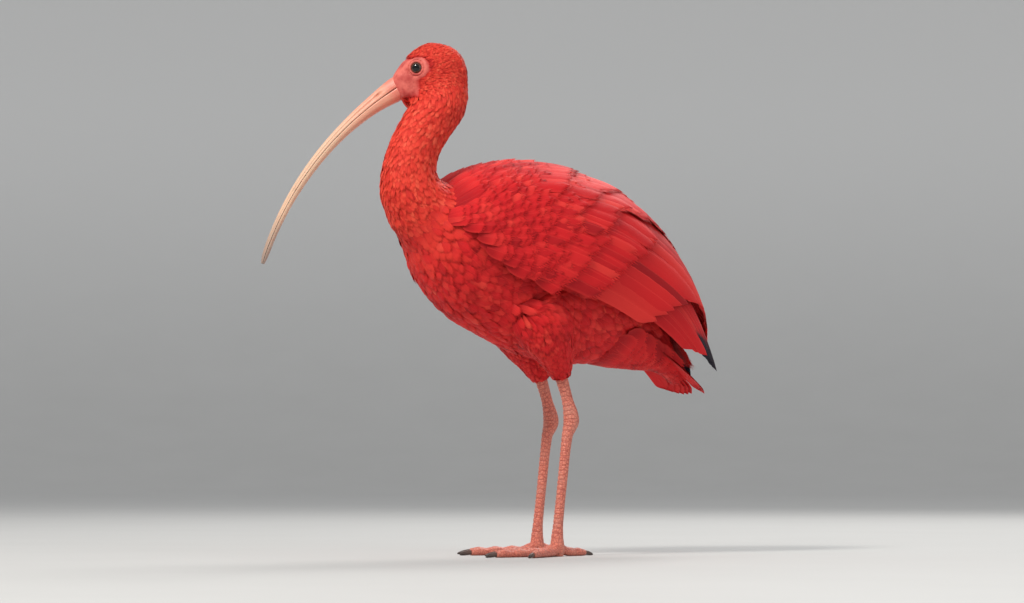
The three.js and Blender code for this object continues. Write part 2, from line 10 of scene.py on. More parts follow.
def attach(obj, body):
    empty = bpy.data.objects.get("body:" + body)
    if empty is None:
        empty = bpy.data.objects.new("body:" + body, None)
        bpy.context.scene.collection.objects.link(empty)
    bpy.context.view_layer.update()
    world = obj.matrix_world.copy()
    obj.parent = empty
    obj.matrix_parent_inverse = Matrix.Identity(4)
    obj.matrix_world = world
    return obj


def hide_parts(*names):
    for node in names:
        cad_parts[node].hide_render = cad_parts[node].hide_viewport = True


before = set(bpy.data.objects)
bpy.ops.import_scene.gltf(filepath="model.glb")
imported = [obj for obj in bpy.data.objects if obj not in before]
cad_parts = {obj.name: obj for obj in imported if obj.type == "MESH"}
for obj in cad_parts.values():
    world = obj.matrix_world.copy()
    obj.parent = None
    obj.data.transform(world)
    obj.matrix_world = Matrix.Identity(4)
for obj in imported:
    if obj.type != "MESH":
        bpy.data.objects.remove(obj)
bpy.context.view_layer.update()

# Lengths are in millimetres and turned into metres by placed(), with the bird facing +X.
MM = 0.001
STAND_CENTRE = np.array([27.6, -9.0, 0.0])
RNG = np.random.default_rng(20)
SIDES = (("left", 1.0), ("right", -1.0))

# Palette, linear
SCARLET = (0.70, 0.012, 0.016)
SCARLET_DEEP = (0.36, 0.004, 0.008)
SCARLET_LIGHT = (0.86, 0.045, 0.035)
NECK_RED = (0.84, 0.055, 0.03)
NECK_DEEP = (0.50, 0.016, 0.012)
NECK_LIGHT = (0.92, 0.125, 0.065)
FACE_PINK = (0.74, 0.15, 0.115)
FACE_DEEP = (0.48, 0.05, 0.042)
QUILL_BLUE = (0.006, 0.007, 0.016)
BILL_BASE = (0.78, 0.33, 0.22)
BILL_MIDDLE = (0.78, 0.50, 0.34)
BILL_TIP = (0.30, 0.22, 0.19)
LEG_CORAL = (0.72, 0.21, 0.14)
LEG_SHADE = (0.46, 0.10, 0.07)
LEG_PALE = (0.62, 0.26, 0.19)
CLAW = (0.045, 0.028, 0.022)
CLAW_ROOT = (0.11, 0.06, 0.045)
IRIS = (0.035, 0.014, 0.008)
IRIS_FLECK = (0.11, 0.04, 0.02)
EYE_RIM = (0.012, 0.006, 0.005)
PUPIL = (0.001, 0.001, 0.001)
FLOOR_TONES = ((0.50, 0.50, 0.49), (0.54, 0.54, 0.53))
# The wall is paler than the floor: painted light that makes up for the weaker light falling on the wall.
WALL_TONE = (0.74, 0.74, 0.73)

# Trunk axis
BREAST = (120.0, 236.0)
FRONT_SLOPE = math.radians(5)
TAIL_SLOPE = math.radians(42)
AXIS_LENGTH = 288
AXIS_RADIUS = AXIS_LENGTH / (TAIL_SLOPE - FRONT_SLOPE)

# Head
HEAD_CENTRE = Vector((98, -6, 344))
HEAD_TURN = Matrix.Rotation(math.radians(-35), 4, "Z")
HEAD_PITCH = Matrix.Rotation(math.radians(18), 4, "Y")
HEAD_FRAME = Matrix.Translation(HEAD_CENTRE) @ HEAD_TURN @ HEAD_PITCH
EYE_RADIUS = 4.9
BILL_ROOT = (30.5, -3.5)
BILL_START = math.radians(15)
BILL_BEND = math.radians(40)
BILL_LENGTH = 158
BILL_RADIUS = BILL_LENGTH / BILL_BEND

# Legs
FOOT_SPREAD = 25
FOOT_X = {"left": 12, "right": -6}
# Each toe's name, heading in degrees, length and number of pads
TOES = (("middle", -4, 56, 4), ("inner", 26, 43, 3), ("outer", -34, 49, 4), ("hind", 168, 29, 2))


# Shapes

def placed(points):
    """Points of the bird's own frame, in millimetres, in the row frame and metres."""
    return (np.asarray(points, float) - STAND_CENTRE) * MM


def through(pairs):
    """A smooth curve through (place, value) pairs, level beyond its ends."""
    x, y = np.array(pairs, float).T
    slope = np.empty_like(y)
    slope[1:-1] = (y[2:] - y[:-2]) / (x[2:] - x[:-2])
    slope[0] = (y[1] - y[0]) / (x[1] - x[0])
    slope[-1] = (y[-1] - y[-2]) / (x[-1] - x[-2])

    def at(v):
        v = np.asarray(v, float)
        i = np.clip(np.searchsorted(x, v, side="right") - 1, 0, len(x) - 2)
        span = x[i + 1] - x[i]
        t = np.clip((v - x[i]) / span, 0, 1)
        s = 1 - t
        ends = s * s * (1 + 2 * t) * y[i] + t * t * (3 - 2 * t) * y[i + 1]
        return ends + span * t * s * (s * slope[i] - t * slope[i + 1])

    return at


def body_point(back, leftward, up):
    """A point of the trunk, back along its falling axis, left of it and above it."""
    slope = FRONT_SLOPE + np.asarray(back, float) / AXIS_RADIUS
    x = BREAST[0] - AXIS_RADIUS * (np.sin(slope) - math.sin(FRONT_SLOPE)) - up * np.sin(slope)
    z = BREAST[1] - AXIS_RADIUS * (math.cos(FRONT_SLOPE) - np.cos(slope)) + up * np.cos(slope)
    return np.stack(np.broadcast_arrays(x, leftward, z), -1)


def body_place(points):
    """How far back along the trunk's axis, left of it and above it each point lies."""
    dx = BREAST[0] + AXIS_RADIUS * math.sin(FRONT_SLOPE) - points[..., 0]
    dz = points[..., 2] - BREAST[1] + AXIS_RADIUS * math.cos(FRONT_SLOPE)
    back = (np.arctan2(dx, dz) - FRONT_SLOPE) * AXIS_RADIUS
    return back, points[..., 1], np.hypot(dx, dz) - AXIS_RADIUS


# The trunk's outline above, below and beside its axis, by how far back it is
TRUNK_TOP = through([
    [0, 8], [17, 26], [36, 38], [63, 49], [89, 55], [115, 58],
    [142, 61], [168, 59], [215, 46], [250, 29], [290, 9],
])
TRUNK_BOTTOM = through([
    [0, 10], [17, 41], [40, 58], [63, 65], [89, 68], [115, 69],
    [142, 67], [168, 59], [215, 42], [250, 25], [290, 8],
])
TRUNK_HALF = through([
    [0, 9], [15, 34], [30, 41], [50, 43], [75, 44], [110, 45],
    [145, 43], [175, 38], [215, 32], [250, 24], [290, 12],
])


def around(back, degrees, lift, side):
    """A point over the trunk: degrees 0 is the back and 180 the belly, lift the height over its outline."""
    angle = np.radians(degrees)
    up, out = np.cos(angle), np.sin(angle)
    height = np.where(up >= 0, TRUNK_TOP(back), TRUNK_BOTTOM(back)) + lift
    return body_point(back, side * (TRUNK_HALF(back) + lift) * out, height * up)


def girth(back, degrees):
    """Millimetres round the trunk for each degree."""
    angle = np.radians(degrees)
    return math.radians(1) * np.hypot(TRUNK_HALF(back) * np.cos(angle), TRUNK_TOP(back) * np.sin(angle))


def head_points(points):
    """Points of the head's own frame in the bird's."""
    return np.asarray(points, float) @ np.array(HEAD_FRAME.to_3x3()).T + np.array(HEAD_FRAME.translation)


def in_head(points):
    """Points of the bird's frame in the head's own."""
    return (np.asarray(points, float) - np.array(HEAD_FRAME.translation)) @ np.array(HEAD_FRAME.to_3x3())


def smooth(low, high, value):
    """From 0 at low to 1 at high, level beyond them. low may be the larger."""
    t = np.clip((np.asarray(value, float) - low) / (high - low), 0, 1)
    return t * t * (3 - 2 * t)


def unit(v):
    """Vectors at length 1."""
    return v / np.maximum(np.linalg.norm(v, axis=-1, keepdims=True), 1e-9)


# Meshes

def mesh_of(name, verts, faces):
    """A smooth mesh from arrays."""
    me = bpy.data.meshes.new(name)
    me.from_pydata(verts.tolist(), [], faces if isinstance(faces, list) else faces.tolist())
    me.polygons.foreach_set("use_smooth", np.ones(len(me.polygons), bool))
    return me


def object_of(name, data):
    """An object in the scene for a mesh, a light or a camera."""
    ob = bpy.data.objects.new(name, data)
    bpy.context.scene.collection.objects.link(ob)
    return ob


def mesh_piece(name, verts, faces, finish, slot, nodes=(), uvs=None, **values):
    """One piece of the bird, from places in its own frame in millimetres.

    uvs is {map name: a place per vertex}. Each of the values is an attribute with a number per vertex.
    """
    name = name.replace(" ", "_")
    me = mesh_of(name, placed(verts), faces)
    for map_name, places in (uvs or {}).items():
        layer = me.uv_layers.new(name=map_name)
        loops = np.empty(len(me.loops), int)
        me.loops.foreach_get("vertex_index", loops)
        layer.data.foreach_set("uv", places[loops].astype(np.float32).ravel())
    for key, data in values.items():
        me.attributes.new(key, "FLOAT", "POINT").data.foreach_set("value", np.asarray(data, np.float32))
    me.update()
    ob = object_of(name, me)
    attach(ob, "root")
    if nodes:
        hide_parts(*nodes)
    me.materials.append(finish)


def lattice(rows, columns, form="sheet"):
    """The faces of a sheet or a capped tube, by rows and columns of vertices. The caps' middles come last."""
    bm = bmesh.new()
    if form == "sheet":
        bmesh.ops.create_grid(bm, x_segments=columns - 1, y_segments=rows - 1, size=1)
    else:
        caps = {"cap_ends": True, "cap_tris": True}
        bmesh.ops.create_cone(bm, segments=columns, radius1=1, radius2=1, depth=2, **caps)
        upright = [e for e in bm.edges if abs(e.verts[0].co.z - e.verts[1].co.z) > 1]
        bmesh.ops.subdivide_edges(bm, edges=upright, cuts=rows - 2)
    bm.verts.index_update()
    co = np.array([v.co[:] for v in bm.verts])
    if form == "sheet":
        row = np.rint((co[:, 1] + 1) / 2 * (rows - 1)).astype(int)
        column = np.rint((co[:, 0] + 1) / 2 * (columns - 1)).astype(int)
    else:
        row = np.rint((co[:, 2] + 1) / 2 * (rows - 1)).astype(int)
        rim = np.hypot(co[:, 0], co[:, 1]) > 0.5
        turn = np.arctan2(co[:, 1], co[:, 0]) / (2 * math.pi)
        column = np.rint((turn - turn[rim].min()) * columns).astype(int) % columns
    place = row * columns + column
    if form == "capped":
        place = np.where(rim, place, rows * columns + (row > 0))
    faces = [tuple(int(place[v.index]) for v in f.verts) for f in bm.faces]
    bm.free()
    return faces


def from_bmesh(bm, outward=True, settle=False):
    """Vertices and faces of a bmesh, which is then freed.

    settle puts the faces in one order, for the operators that list them in another order in each run.
    """
    if outward:
        bmesh.ops.recalc_face_normals(bm, faces=bm.faces)
    bm.verts.index_update()
    verts = np.array([v.co[:] for v in bm.verts])
    faces = [tuple(v.index for v in f.verts) for f in bm.faces]
    bm.free()
    if settle:
        starts = [face.index(min(face)) for face in faces]
        faces = sorted(face[start:] + face[:start] for face, start in zip(faces, starts))
    return verts, faces


def spun(bm, geometry, centre, axis, steps):
    """Turns geometry once round an axis and closes it."""
    turn = {"dvec": (0, 0, 0), "angle": 2 * math.pi, "steps": steps, "use_merge": True}
    bmesh.ops.spin(bm, geom=geometry, cent=centre, axis=axis, **turn)


def many(template_faces, verts):
    """Faces for a stack of copies (copies, vertices, 3) of one template."""
    copies, size = verts.shape[:2]
    stack = np.asarray(template_faces)[None] + (np.arange(copies) * size)[:, None, None]
    return stack.reshape(-1, stack.shape[2])


def tube(rings):
    """Vertices and faces of rings (rows, columns, 3) closed round, with both ends capped."""
    rows, columns = rings.shape[:2]
    verts = np.concatenate([rings.reshape(-1, 3), rings[0].mean(0)[None], rings[-1].mean(0)[None]])
    bm = bmesh.new()
    for v in verts:
        bm.verts.new(v)
    bm.verts.ensure_lookup_table()
    for face in lattice(rows, columns, "capped"):
        bm.faces.new([bm.verts[i] for i in face])
    return from_bmesh(bm)


def join_parts(parts):
    """One list of vertices and one of faces from several."""
    verts, faces, offset = [], [], 0
    for v, f in parts:
        verts.append(v)
        faces.extend([tuple(int(i) + offset for i in face) for face in f])
        offset += len(v)
    return np.concatenate(verts), faces


# Materials

def group(name, inputs, outputs):
    """A node group of plain values."""
    g = bpy.data.node_groups.new(name, "ShaderNodeTree")
    for label in inputs:
        g.interface.new_socket(label, in_out="INPUT", socket_type="NodeSocketFloat")
    for label in outputs:
        g.interface.new_socket(label, in_out="OUTPUT", socket_type="NodeSocketFloat")
    return g, g.nodes.new("NodeGroupInput"), g.nodes.new("NodeGroupOutput")


def maths(tree, operation, a, b=None, c=None):
    """A sum over numbers or sockets."""
    node = tree.nodes.new("ShaderNodeMath")
    node.operation = operation
    for socket, value in zip(node.inputs, (a, b, c)):
        if value is None:
            continue
        if isinstance(value, (int, float)):
            socket.default_value = value
        else:
            tree.links.new(value, socket)
    return node.outputs[0]


def mixed(tree, factor, a, b):
    """Colour a turned into colour b by the factor."""
    node = tree.nodes.new("ShaderNodeMix")
    node.data_type = "RGBA"
    for socket, value in ((node.inputs[0], factor), (node.inputs[6], a), (node.inputs[7], b)):
        if isinstance(value, (int, float)):
            socket.default_value = value
        elif isinstance(value, tuple):
            socket.default_value = (*value, 1)
        else:
            tree.links.new(value, socket)
    return node.outputs[2]


def ranged(tree, value, low, high, out_low=0.0, out_high=1.0):
    """A smooth step from out_low at low to out_high at high."""
    node = tree.nodes.new("ShaderNodeMapRange")
    node.interpolation_type = "SMOOTHSTEP"
    for i, v in enumerate((low, high, out_low, out_high)):
        node.inputs[i + 1].default_value = v
    tree.links.new(value, node.inputs[0])
    return node.outputs[0]


def noise(tree, scale, detail, vector):
    node = tree.nodes.new("ShaderNodeTexNoise")
    node.inputs["Scale"].default_value = scale
    node.inputs["Detail"].default_value = detail
    node.inputs["Roughness"].default_value = 0.55
    tree.links.new(vector, node.inputs["Vector"])
    return node.outputs[0]


def attribute(tree, name):
    node = tree.nodes.new("ShaderNodeAttribute")
    node.attribute_name = name
    return node.outputs["Fac"]


def lay_map(tree):
    """The two directions of a piece's own map: across it and along it."""
    node = tree.nodes.new("ShaderNodeUVMap")
    node.uv_map = "lay"
    split = tree.nodes.new("ShaderNodeSeparateXYZ")
    tree.links.new(node.outputs[0], split.inputs[0])
    return split.outputs[0], split.outputs[1]


def object_place(tree):
    """The place on the object itself, in metres."""
    return tree.nodes.new("ShaderNodeTexCoord").outputs["Object"]


def stretched(tree, *measures):
    """A place for a texture, from up to three measures as (value, factor)."""
    node = tree.nodes.new("ShaderNodeCombineXYZ")
    for socket, (value, factor) in zip(node.inputs, measures):
        tree.links.new(maths(tree, "MULTIPLY", value, factor), socket)
    return node.outputs[0]


def bump(tree, height, distance, strength):
    node = tree.nodes.new("ShaderNodeBump")
    node.inputs["Strength"].default_value = strength
    node.inputs["Distance"].default_value = distance
    tree.links.new(height, node.inputs["Height"])
    return node.outputs[0]


def material(name, **constants):
    """A material, its tree and its shader, whose inputs are set by name."""
    m = bpy.data.materials.new(name)
    m.use_nodes = True
    shader = next(n for n in m.node_tree.nodes if n.type == "BSDF_PRINCIPLED")
    for key, value in constants.items():
        shader.inputs[key.replace("_", " ")].default_value = value
    return m, m.node_tree, shader


def surfaced(tree, shader, colour, *relief):
    """Gives a shader its colour and, from (height, distance, strength), its relief."""
    tree.links.new(colour, shader.inputs["Base Color"])
    if relief:
        tree.links.new(bump(tree, *relief), shader.inputs["Normal"])


def vane_group():
    """Barbs slanting from the shaft to the edge, and the shaft itself."""
    inputs, outputs = ("Across", "Along", "Barbs", "Shaft"), ("Lines", "Shaft", "Edge")
    g, inside, out = group("vane lines", inputs, outputs)
    across = maths(g, "ABSOLUTE", maths(g, "MULTIPLY_ADD", inside.outputs["Across"], 2.0, -1.0))
    phase = maths(g, "SUBTRACT", inside.outputs["Along"], maths(g, "MULTIPLY", across, 0.22))
    turns = maths(g, "MULTIPLY", phase, inside.outputs["Barbs"])
    wave = maths(g, "SINE", maths(g, "MULTIPLY", turns, 2 * math.pi))
    g.links.new(maths(g, "MULTIPLY_ADD", wave, 0.5, 0.5), out.inputs["Lines"])
    g.links.new(maths(g, "LESS_THAN", across, inside.outputs["Shaft"]), out.inputs["Shaft"])
    # Edge marks the sides of the vane, where plumage paints a highlight.
    g.links.new(ranged(g, across, 0.7, 1.0), out.inputs["Edge"])
    return g


VANE_LINES = vane_group()
BODY_SHADES = (SCARLET_DEEP, SCARLET, SCARLET_LIGHT)
NECK_SHADES = (NECK_DEEP, NECK_RED, NECK_LIGHT)


def tone_and_root_shade(tree, tone, along, shades):
    """A feather's colour by its own tone, with painted shade deepening it towards its hidden root, where the
    feather above would shadow it.
    """
    deep, middle, light = shades
    colour = mixed(tree, ranged(tree, tone, 0.0, 0.55), deep, middle)
    colour = mixed(tree, ranged(tree, tone, 0.45, 1.0), colour, light)
    # Painted shade: the root end of each feather is darkened, standing in for the shadow of the feather lying
    # over it.
    return mixed(tree, ranged(tree, along, 0.2, 0.86, 0.8, 0.0), colour, deep)


def plumage(name, barbs, shaft, dark=None, sheen=0.07, neck=False):
    """Feathers with barbs and a shaft. neck turns them orange-red where the warm attribute says."""
    m, tree, shader = material(
        name,
        Roughness=0.62,
        Specular_IOR_Level=0.2,
        Sheen_Weight=sheen,
        Sheen_Roughness=0.45,
        Sheen_Tint=(*NECK_LIGHT, 1),
    )
    across, along = lay_map(tree)
    lines = tree.nodes.new("ShaderNodeGroup")
    lines.node_tree = VANE_LINES
    tree.links.new(across, lines.inputs["Across"])
    tree.links.new(along, lines.inputs["Along"])
    lines.inputs["Barbs"].default_value = barbs
    lines.inputs["Shaft"].default_value = shaft
    tone = attribute(tree, "tone")
    colour = tone_and_root_shade(tree, tone, along, BODY_SHADES)
    if neck:
        colour = mixed(tree, attribute(tree, "warm"), colour, tone_and_root_shade(tree, tone, along, NECK_SHADES))
    colour = mixed(tree, maths(tree, "MULTIPLY", lines.outputs["Lines"], 0.16), colour, SCARLET_DEEP)
    colour = mixed(tree, maths(tree, "MULTIPLY", lines.outputs["Shaft"], 0.3), colour, SCARLET_LIGHT)
    # Painted highlight: a paler rim along each feather's side edges, standing in for light catching them.
    colour = mixed(tree, maths(tree, "MULTIPLY", lines.outputs["Edge"], 0.3), colour, SCARLET_LIGHT)
    if dark:
        colour = mixed(tree, attribute(tree, "ink"), colour, dark)
    height = maths(tree, "ADD", maths(tree, "MULTIPLY", lines.outputs["Lines"], 0.35), lines.outputs["Shaft"])
    surfaced(tree, shader, colour, height, 0.00025, 0.6)
    return m


def skin_material():
    m, tree, shader = material("skin under the coat", Roughness=0.6)
    place = object_place(tree)
    fine = noise(tree, 420, 4, place)
    folds = noise(tree, 140, 3, place)
    under = mixed(tree, fine, NECK_DEEP, SCARLET)
    bare = mixed(tree, ranged(tree, folds, 0.35, 0.7), FACE_PINK, FACE_DEEP)
    colour = mixed(tree, attribute(tree, "bare"), under, bare)
    height = maths(tree, "ADD", maths(tree, "MULTIPLY", fine, 0.5), folds)
    surfaced(tree, shader, colour, height, 0.0012, 0.7)
    return m


def bill_material():
    m, tree, shader = material(
        "bill horn", Roughness=0.36, Subsurface_Weight=0.08, Subsurface_Radius=(0.004, 0.0015, 0.001)
    )
    across, along = lay_map(tree)
    place = object_place(tree)
    cloud = noise(tree, 55, 4, place)
    shifted = maths(tree, "ADD", along, maths(tree, "MULTIPLY_ADD", cloud, 0.16, -0.08))
    colour = mixed(tree, ranged(tree, shifted, 0.02, 0.42), BILL_BASE, BILL_MIDDLE)
    colour = mixed(tree, ranged(tree, shifted, 0.72, 1.0, 0.0, 0.85), colour, BILL_TIP)
    colour = mixed(tree, ranged(tree, noise(tree, 260, 4, place), 0.55, 0.8, 0.0, 0.16), colour, BILL_TIP)
    colour = mixed(tree, ranged(tree, along, 0.0, 0.05, 0.6, 0.0), colour, FACE_PINK)
    streaks = noise(tree, 1.0, 4, stretched(tree, (across, 26.0), (along, 9.0)))
    height = maths(tree, "ADD", streaks, maths(tree, "MULTIPLY", noise(tree, 300, 3, place), 0.3))
    surfaced(tree, shader, colour, height, 0.0006, 0.45)
    tree.links.new(ranged(tree, cloud, 0.3, 0.7, 0.3, 0.46), shader.inputs["Roughness"])
    return m


def leg_material():
    m, tree, shader = material(
        "scaled leg skin", Roughness=0.46, Subsurface_Weight=0.06, Subsurface_Radius=(0.003, 0.001, 0.001)
    )
    place = object_place(tree)
    cells = tree.nodes.new("ShaderNodeTexVoronoi")
    cells.feature = "DISTANCE_TO_EDGE"
    cells.inputs["Scale"].default_value = 430
    tree.links.new(place, cells.inputs["Vector"])
    seam = ranged(tree, cells.outputs["Distance"], 0.0, 0.16)
    colour = mixed(tree, seam, LEG_SHADE, LEG_CORAL)
    blotch = ranged(tree, noise(tree, 90, 4, place), 0.4, 0.75, 0.0, 0.5)
    colour = mixed(tree, blotch, colour, LEG_PALE)
    colour = mixed(tree, maths(tree, "MULTIPLY", attribute(tree, "seam"), 0.75), colour, LEG_SHADE)
    surfaced(tree, shader, colour, seam, 0.0004, 0.5)
    return m


def claw_material():
    m, tree, shader = material("claw horn", Roughness=0.35)
    across, along = lay_map(tree)
    colour = mixed(tree, ranged(tree, along, 0.0, 1.0), CLAW_ROOT, CLAW)
    streaks = noise(tree, 1.0, 3, stretched(tree, (across, 18.0), (along, 3.0)))
    surfaced(tree, shader, colour, streaks, 0.0003, 0.4)
    return m


def eye_material():
    m, tree, shader = material(
        "eye", Roughness=0.3, Specular_IOR_Level=0.0, Coat_Weight=1.0, Coat_Roughness=0.02
    )
    across, along = lay_map(tree)
    x, y = (maths(tree, "SUBTRACT", v, 0.5) for v in (across, along))
    squares = maths(tree, "ADD", maths(tree, "MULTIPLY", x, x), maths(tree, "MULTIPLY", y, y))
    away = maths(tree, "SQRT", squares)
    spokes = stretched(tree, (maths(tree, "ARCTAN2", y, x), 14.0), (away, 12.0))
    iris = mixed(tree, noise(tree, 1.0, 2, spokes), IRIS, IRIS_FLECK)
    colour = mixed(tree, ranged(tree, away, 0.080, 0.092), PUPIL, iris)
    surfaced(tree, shader, mixed(tree, ranged(tree, away, 0.150, 0.175), colour, EYE_RIM))
    return m


PLUMAGE = plumage("body feathers", 16, 0.05, neck=True)
NECK_PLUMAGE = plumage("neck feathers", 9, 0.05, sheen=0.12, neck=True)
WING_PLUMAGE = plumage("wing feathers", 46, 0.045, sheen=0.06)
QUILLS = plumage("ink-tipped quills", 60, 0.045, dark=QUILL_BLUE, sheen=0.04)
SKIN = skin_material()
BILL = bill_material()
LEGS = leg_material()
CLAWS = claw_material()
EYES = eye_material()


# Skin

def grown(node, amount):
    """A CAD node's surface pushed outwards a little, in metres."""
    bm = bmesh.new()
    bm.from_mesh(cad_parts[node].data)
    bmesh.ops.remove_doubles(bm, verts=bm.verts, dist=1e-6)
    bm.normal_update()
    for v in bm.verts:
        v.co += v.normal * amount
    return from_bmesh(bm, outward=False)


def rump():
    """The flesh that carries the tail, which the tail's feathers hide."""
    back = np.linspace(196, 250, 12)
    angle = np.linspace(0, 2 * math.pi, 40, endpoint=False)
    top = through([[196, 34], [225, 14], [250, -2]])
    bottom = through([[196, 41], [225, 27], [250, 13]])
    half = through([[196, 26], [225, 18], [250, 11]])
    middle = (top(back) - bottom(back)) / 2
    height = (top(back) + bottom(back)) / 2
    out = half(back)[:, None] * np.sin(angle)
    rings = body_point(back[:, None], out, middle[:, None] + height[:, None] * np.cos(angle))
    verts, faces = tube(rings)
    return placed(verts), faces


FLESH = ("torso", "neck_lower", "neck_upper", "head", "thigh_left", "thigh_right")
VOXEL = 0.0018  # metres
FLESH_GROWTH = 0.0004  # metres, which closes the gaps between the solids
SKIN_SMOOTHING = 8
NAPE_SMOOTHING = 70
FLOW_SMOOTHING = 30


def remeshed(verts, faces):
    """One closed, even skin over several overlapping bodies: its vertices, normals and triangles."""
    me = mesh_of("flesh", verts, faces)
    ob = object_of("flesh", me)
    mod = ob.modifiers.new("voxels", "REMESH")
    mod.mode = "VOXEL"
    mod.voxel_size = VOXEL
    got = ob.evaluated_get(bpy.context.evaluated_depsgraph_get()).to_mesh()
    bm = bmesh.new()
    bm.from_mesh(got)
    bpy.data.objects.remove(ob)
    bpy.data.meshes.remove(me)
    bmesh.ops.triangulate(bm, faces=bm.faces)
    every_way = {"use_axis_x": True, "use_axis_y": True, "use_axis_z": True}
    for _ in range(SKIN_SMOOTHING):
        bmesh.ops.smooth_vert(bm, verts=bm.verts, factor=0.5, **every_way)
    bm.normal_update()
    bm.verts.index_update()
    out = (
        np.array([v.co[:] for v in bm.verts]),
        np.array([v.normal[:] for v in bm.verts]),
        np.array([[v.index for v in f.verts] for f in bm.faces]),
    )
    bm.free()
    return out


bodies = [grown(node, FLESH_GROWTH) for node in FLESH] + [rump()]
flesh_verts, flesh_normals, flesh_faces = remeshed(*join_parts(bodies))
flesh_mm = flesh_verts / MM + STAND_CENTRE

# The line the coat runs along, from the tail to the crown
SPINE = np.concatenate([
    body_point(np.linspace(260, 40, 23), 0.0, 0.0),
    np.array([
        [106, 0, 246], [119, -1, 258], [123, -2, 272], [116, -3, 292],
        [104, -4, 310], [93, -5, 325], [90, -6, 340],
    ]),
])


def along_spine(points):
    """The nearest place on the spine: its distance from the tail and its direction there."""
    a, b = SPINE[:-1], SPINE[1:]
    ab = b - a
    best = np.full(len(points), np.inf)
    run = np.zeros(len(points))
    way = np.zeros((len(points), 3))
    start = 0.0
    for i in range(len(a)):
        size = np.linalg.norm(ab[i])
        t = np.clip(((points - a[i]) @ ab[i]) / size**2, 0, 1)
        gap = np.linalg.norm(points - (a[i] + t[:, None] * ab[i]), axis=1)
        near = gap < best
        best[near] = gap[near]
        run[near] = start + t[near] * size
        way[near] = ab[i] / size
        start += size
    return run, way


spine_run, spine_way = along_spine(flesh_mm)
head_mm = in_head(flesh_mm)
on_head = smooth(32, 22, np.linalg.norm(head_mm * [1, 1.15, 1.1], axis=1))
back_mm, left_mm, up_mm = body_place(flesh_mm)
thigh_gap = np.minimum(
    np.hypot(flesh_mm[:, 0] - (FOOT_X["left"] + 12), flesh_mm[:, 1] - 27),
    np.hypot(flesh_mm[:, 0] - (FOOT_X["right"] + 12), flesh_mm[:, 1] + 27),
)
on_thigh = smooth(178, 160, flesh_mm[:, 2]) * smooth(40, 30, thigh_gap)

edges = np.concatenate([flesh_faces[:, [0, 1]], flesh_faces[:, [1, 2]], flesh_faces[:, [2, 0]]])
links = np.bincount(edges.ravel(), minlength=len(flesh_mm))[:, None]


def spread_over_skin(values):
    """The mean of each vertex's neighbours."""
    total = np.zeros_like(values)
    np.add.at(total, edges[:, 0], values[edges[:, 1]])
    np.add.at(total, edges[:, 1], values[edges[:, 0]])
    return total / links


# The back of the head is drawn in a little and runs into the neck without a step
nape = smooth(-2, -14, head_mm[:, 0]) * smooth(46, 34, np.linalg.norm(head_mm, axis=1))
occiput = np.minimum(head_mm[:, 0] + 15, 0) * smooth(-22, -8, head_mm[:, 2]) * (nape > 0)
head_mm[:, 0] -= 0.42 * occiput
flesh_mm = np.where((occiput < 0)[:, None], head_points(head_mm), flesh_mm)
for _ in range(NAPE_SMOOTHING):
    flesh_mm += (spread_over_skin(flesh_mm) - flesh_mm) * (0.6 * nape)[:, None]

# Which way the feathers lie on the skin
flow = -spine_way
from_bill = flesh_mm - head_points([[34.0, 0.0, 0.0]])
flow = flow * (1 - on_head[:, None]) + unit(from_bill) * on_head[:, None]
flow = flow * (1 - on_thigh[:, None]) + np.array([-0.35, 0, -1]) * on_thigh[:, None]
for _ in range(FLOW_SMOOTHING):
    total = flow * 0.1 + spread_over_skin(flow)
    total -= flesh_normals * np.sum(total * flesh_normals, axis=1, keepdims=True)
    flow = unit(total)

# The bare face: lores, round the eye and the chin
eye_gap = np.linalg.norm(head_mm[:, [0, 2]] - [10, 5], axis=1)
face_line = smooth(9, 14, head_mm[:, 0] - 0.25 * np.abs(head_mm[:, 2] - 2))
round_eye = smooth(9.5, 7, eye_gap) * (np.abs(head_mm[:, 1]) > 6)
bare = np.clip(face_line * smooth(17, 13, head_mm[:, 2]) + round_eye, 0, 1)
bare *= (on_head > 0.01) * smooth(-15, -10, head_mm[:, 2])

on_neck = np.maximum(smooth(238, 270, spine_run), on_head)
warm = np.maximum(smooth(222, 285, spine_run), on_head)
depth = (4.2 - 2.0 * on_neck - 0.7 * on_head - 1.4 * on_thigh) * (1 - bare * 0.9)
skin_mm = flesh_mm - flesh_normals * depth[:, None]
mesh_piece("skin", skin_mm, flesh_faces, SKIN, "body_plumage", FLESH, bare=bare)
skin_tree = BVHTree.FromPolygons(skin_mm.tolist(), flesh_faces.tolist())


# Scattered feathers

def scattered(weight, spacing, tries):
    """Roots on the skin, at least spacing apart. weight and spacing are values per skin vertex."""
    corners = skin_mm[flesh_faces]
    area = np.linalg.norm(np.cross(corners[:, 1] - corners[:, 0], corners[:, 2] - corners[:, 0]), axis=1)
    gap = spacing[flesh_faces].mean(1)
    chance = area * weight[flesh_faces].mean(1) / gap**2
    pick = RNG.choice(len(flesh_faces), size=tries, p=chance / chance.sum())
    r1, r2 = np.sqrt(RNG.random(tries)), RNG.random(tries)
    part = np.stack([1 - r1, r1 * (1 - r2), r1 * r2], 1)
    points = np.einsum("nk,nkd->nd", part, corners[pick])
    near = gap[pick]
    cell = float(near.max())
    table, kept = {}, []
    keys = np.floor(points / cell).astype(int)
    steps = [(dx, dy, dz) for dx in (-1, 0, 1) for dy in (-1, 0, 1) for dz in (-1, 0, 1)]
    for i in range(tries):
        x, y, z = keys[i]
        p, r = points[i], near[i]
        if any(
            (p[0] - q[0]) ** 2 + (p[1] - q[1]) ** 2 + (p[2] - q[2]) ** 2 < r * r
            for dx, dy, dz in steps
            for q in table.get((x + dx, y + dy, z + dz), ())
        ):
            continue
        table.setdefault((x, y, z), []).append(p)
        kept.append(i)
    kept = np.array(kept)
    return points[kept], pick[kept], part[kept]


def interpolated(values, pick, part):
    """Values per skin vertex, at places inside its faces."""
    return np.einsum("nk,nk...->n...", part, values[flesh_faces[pick]])


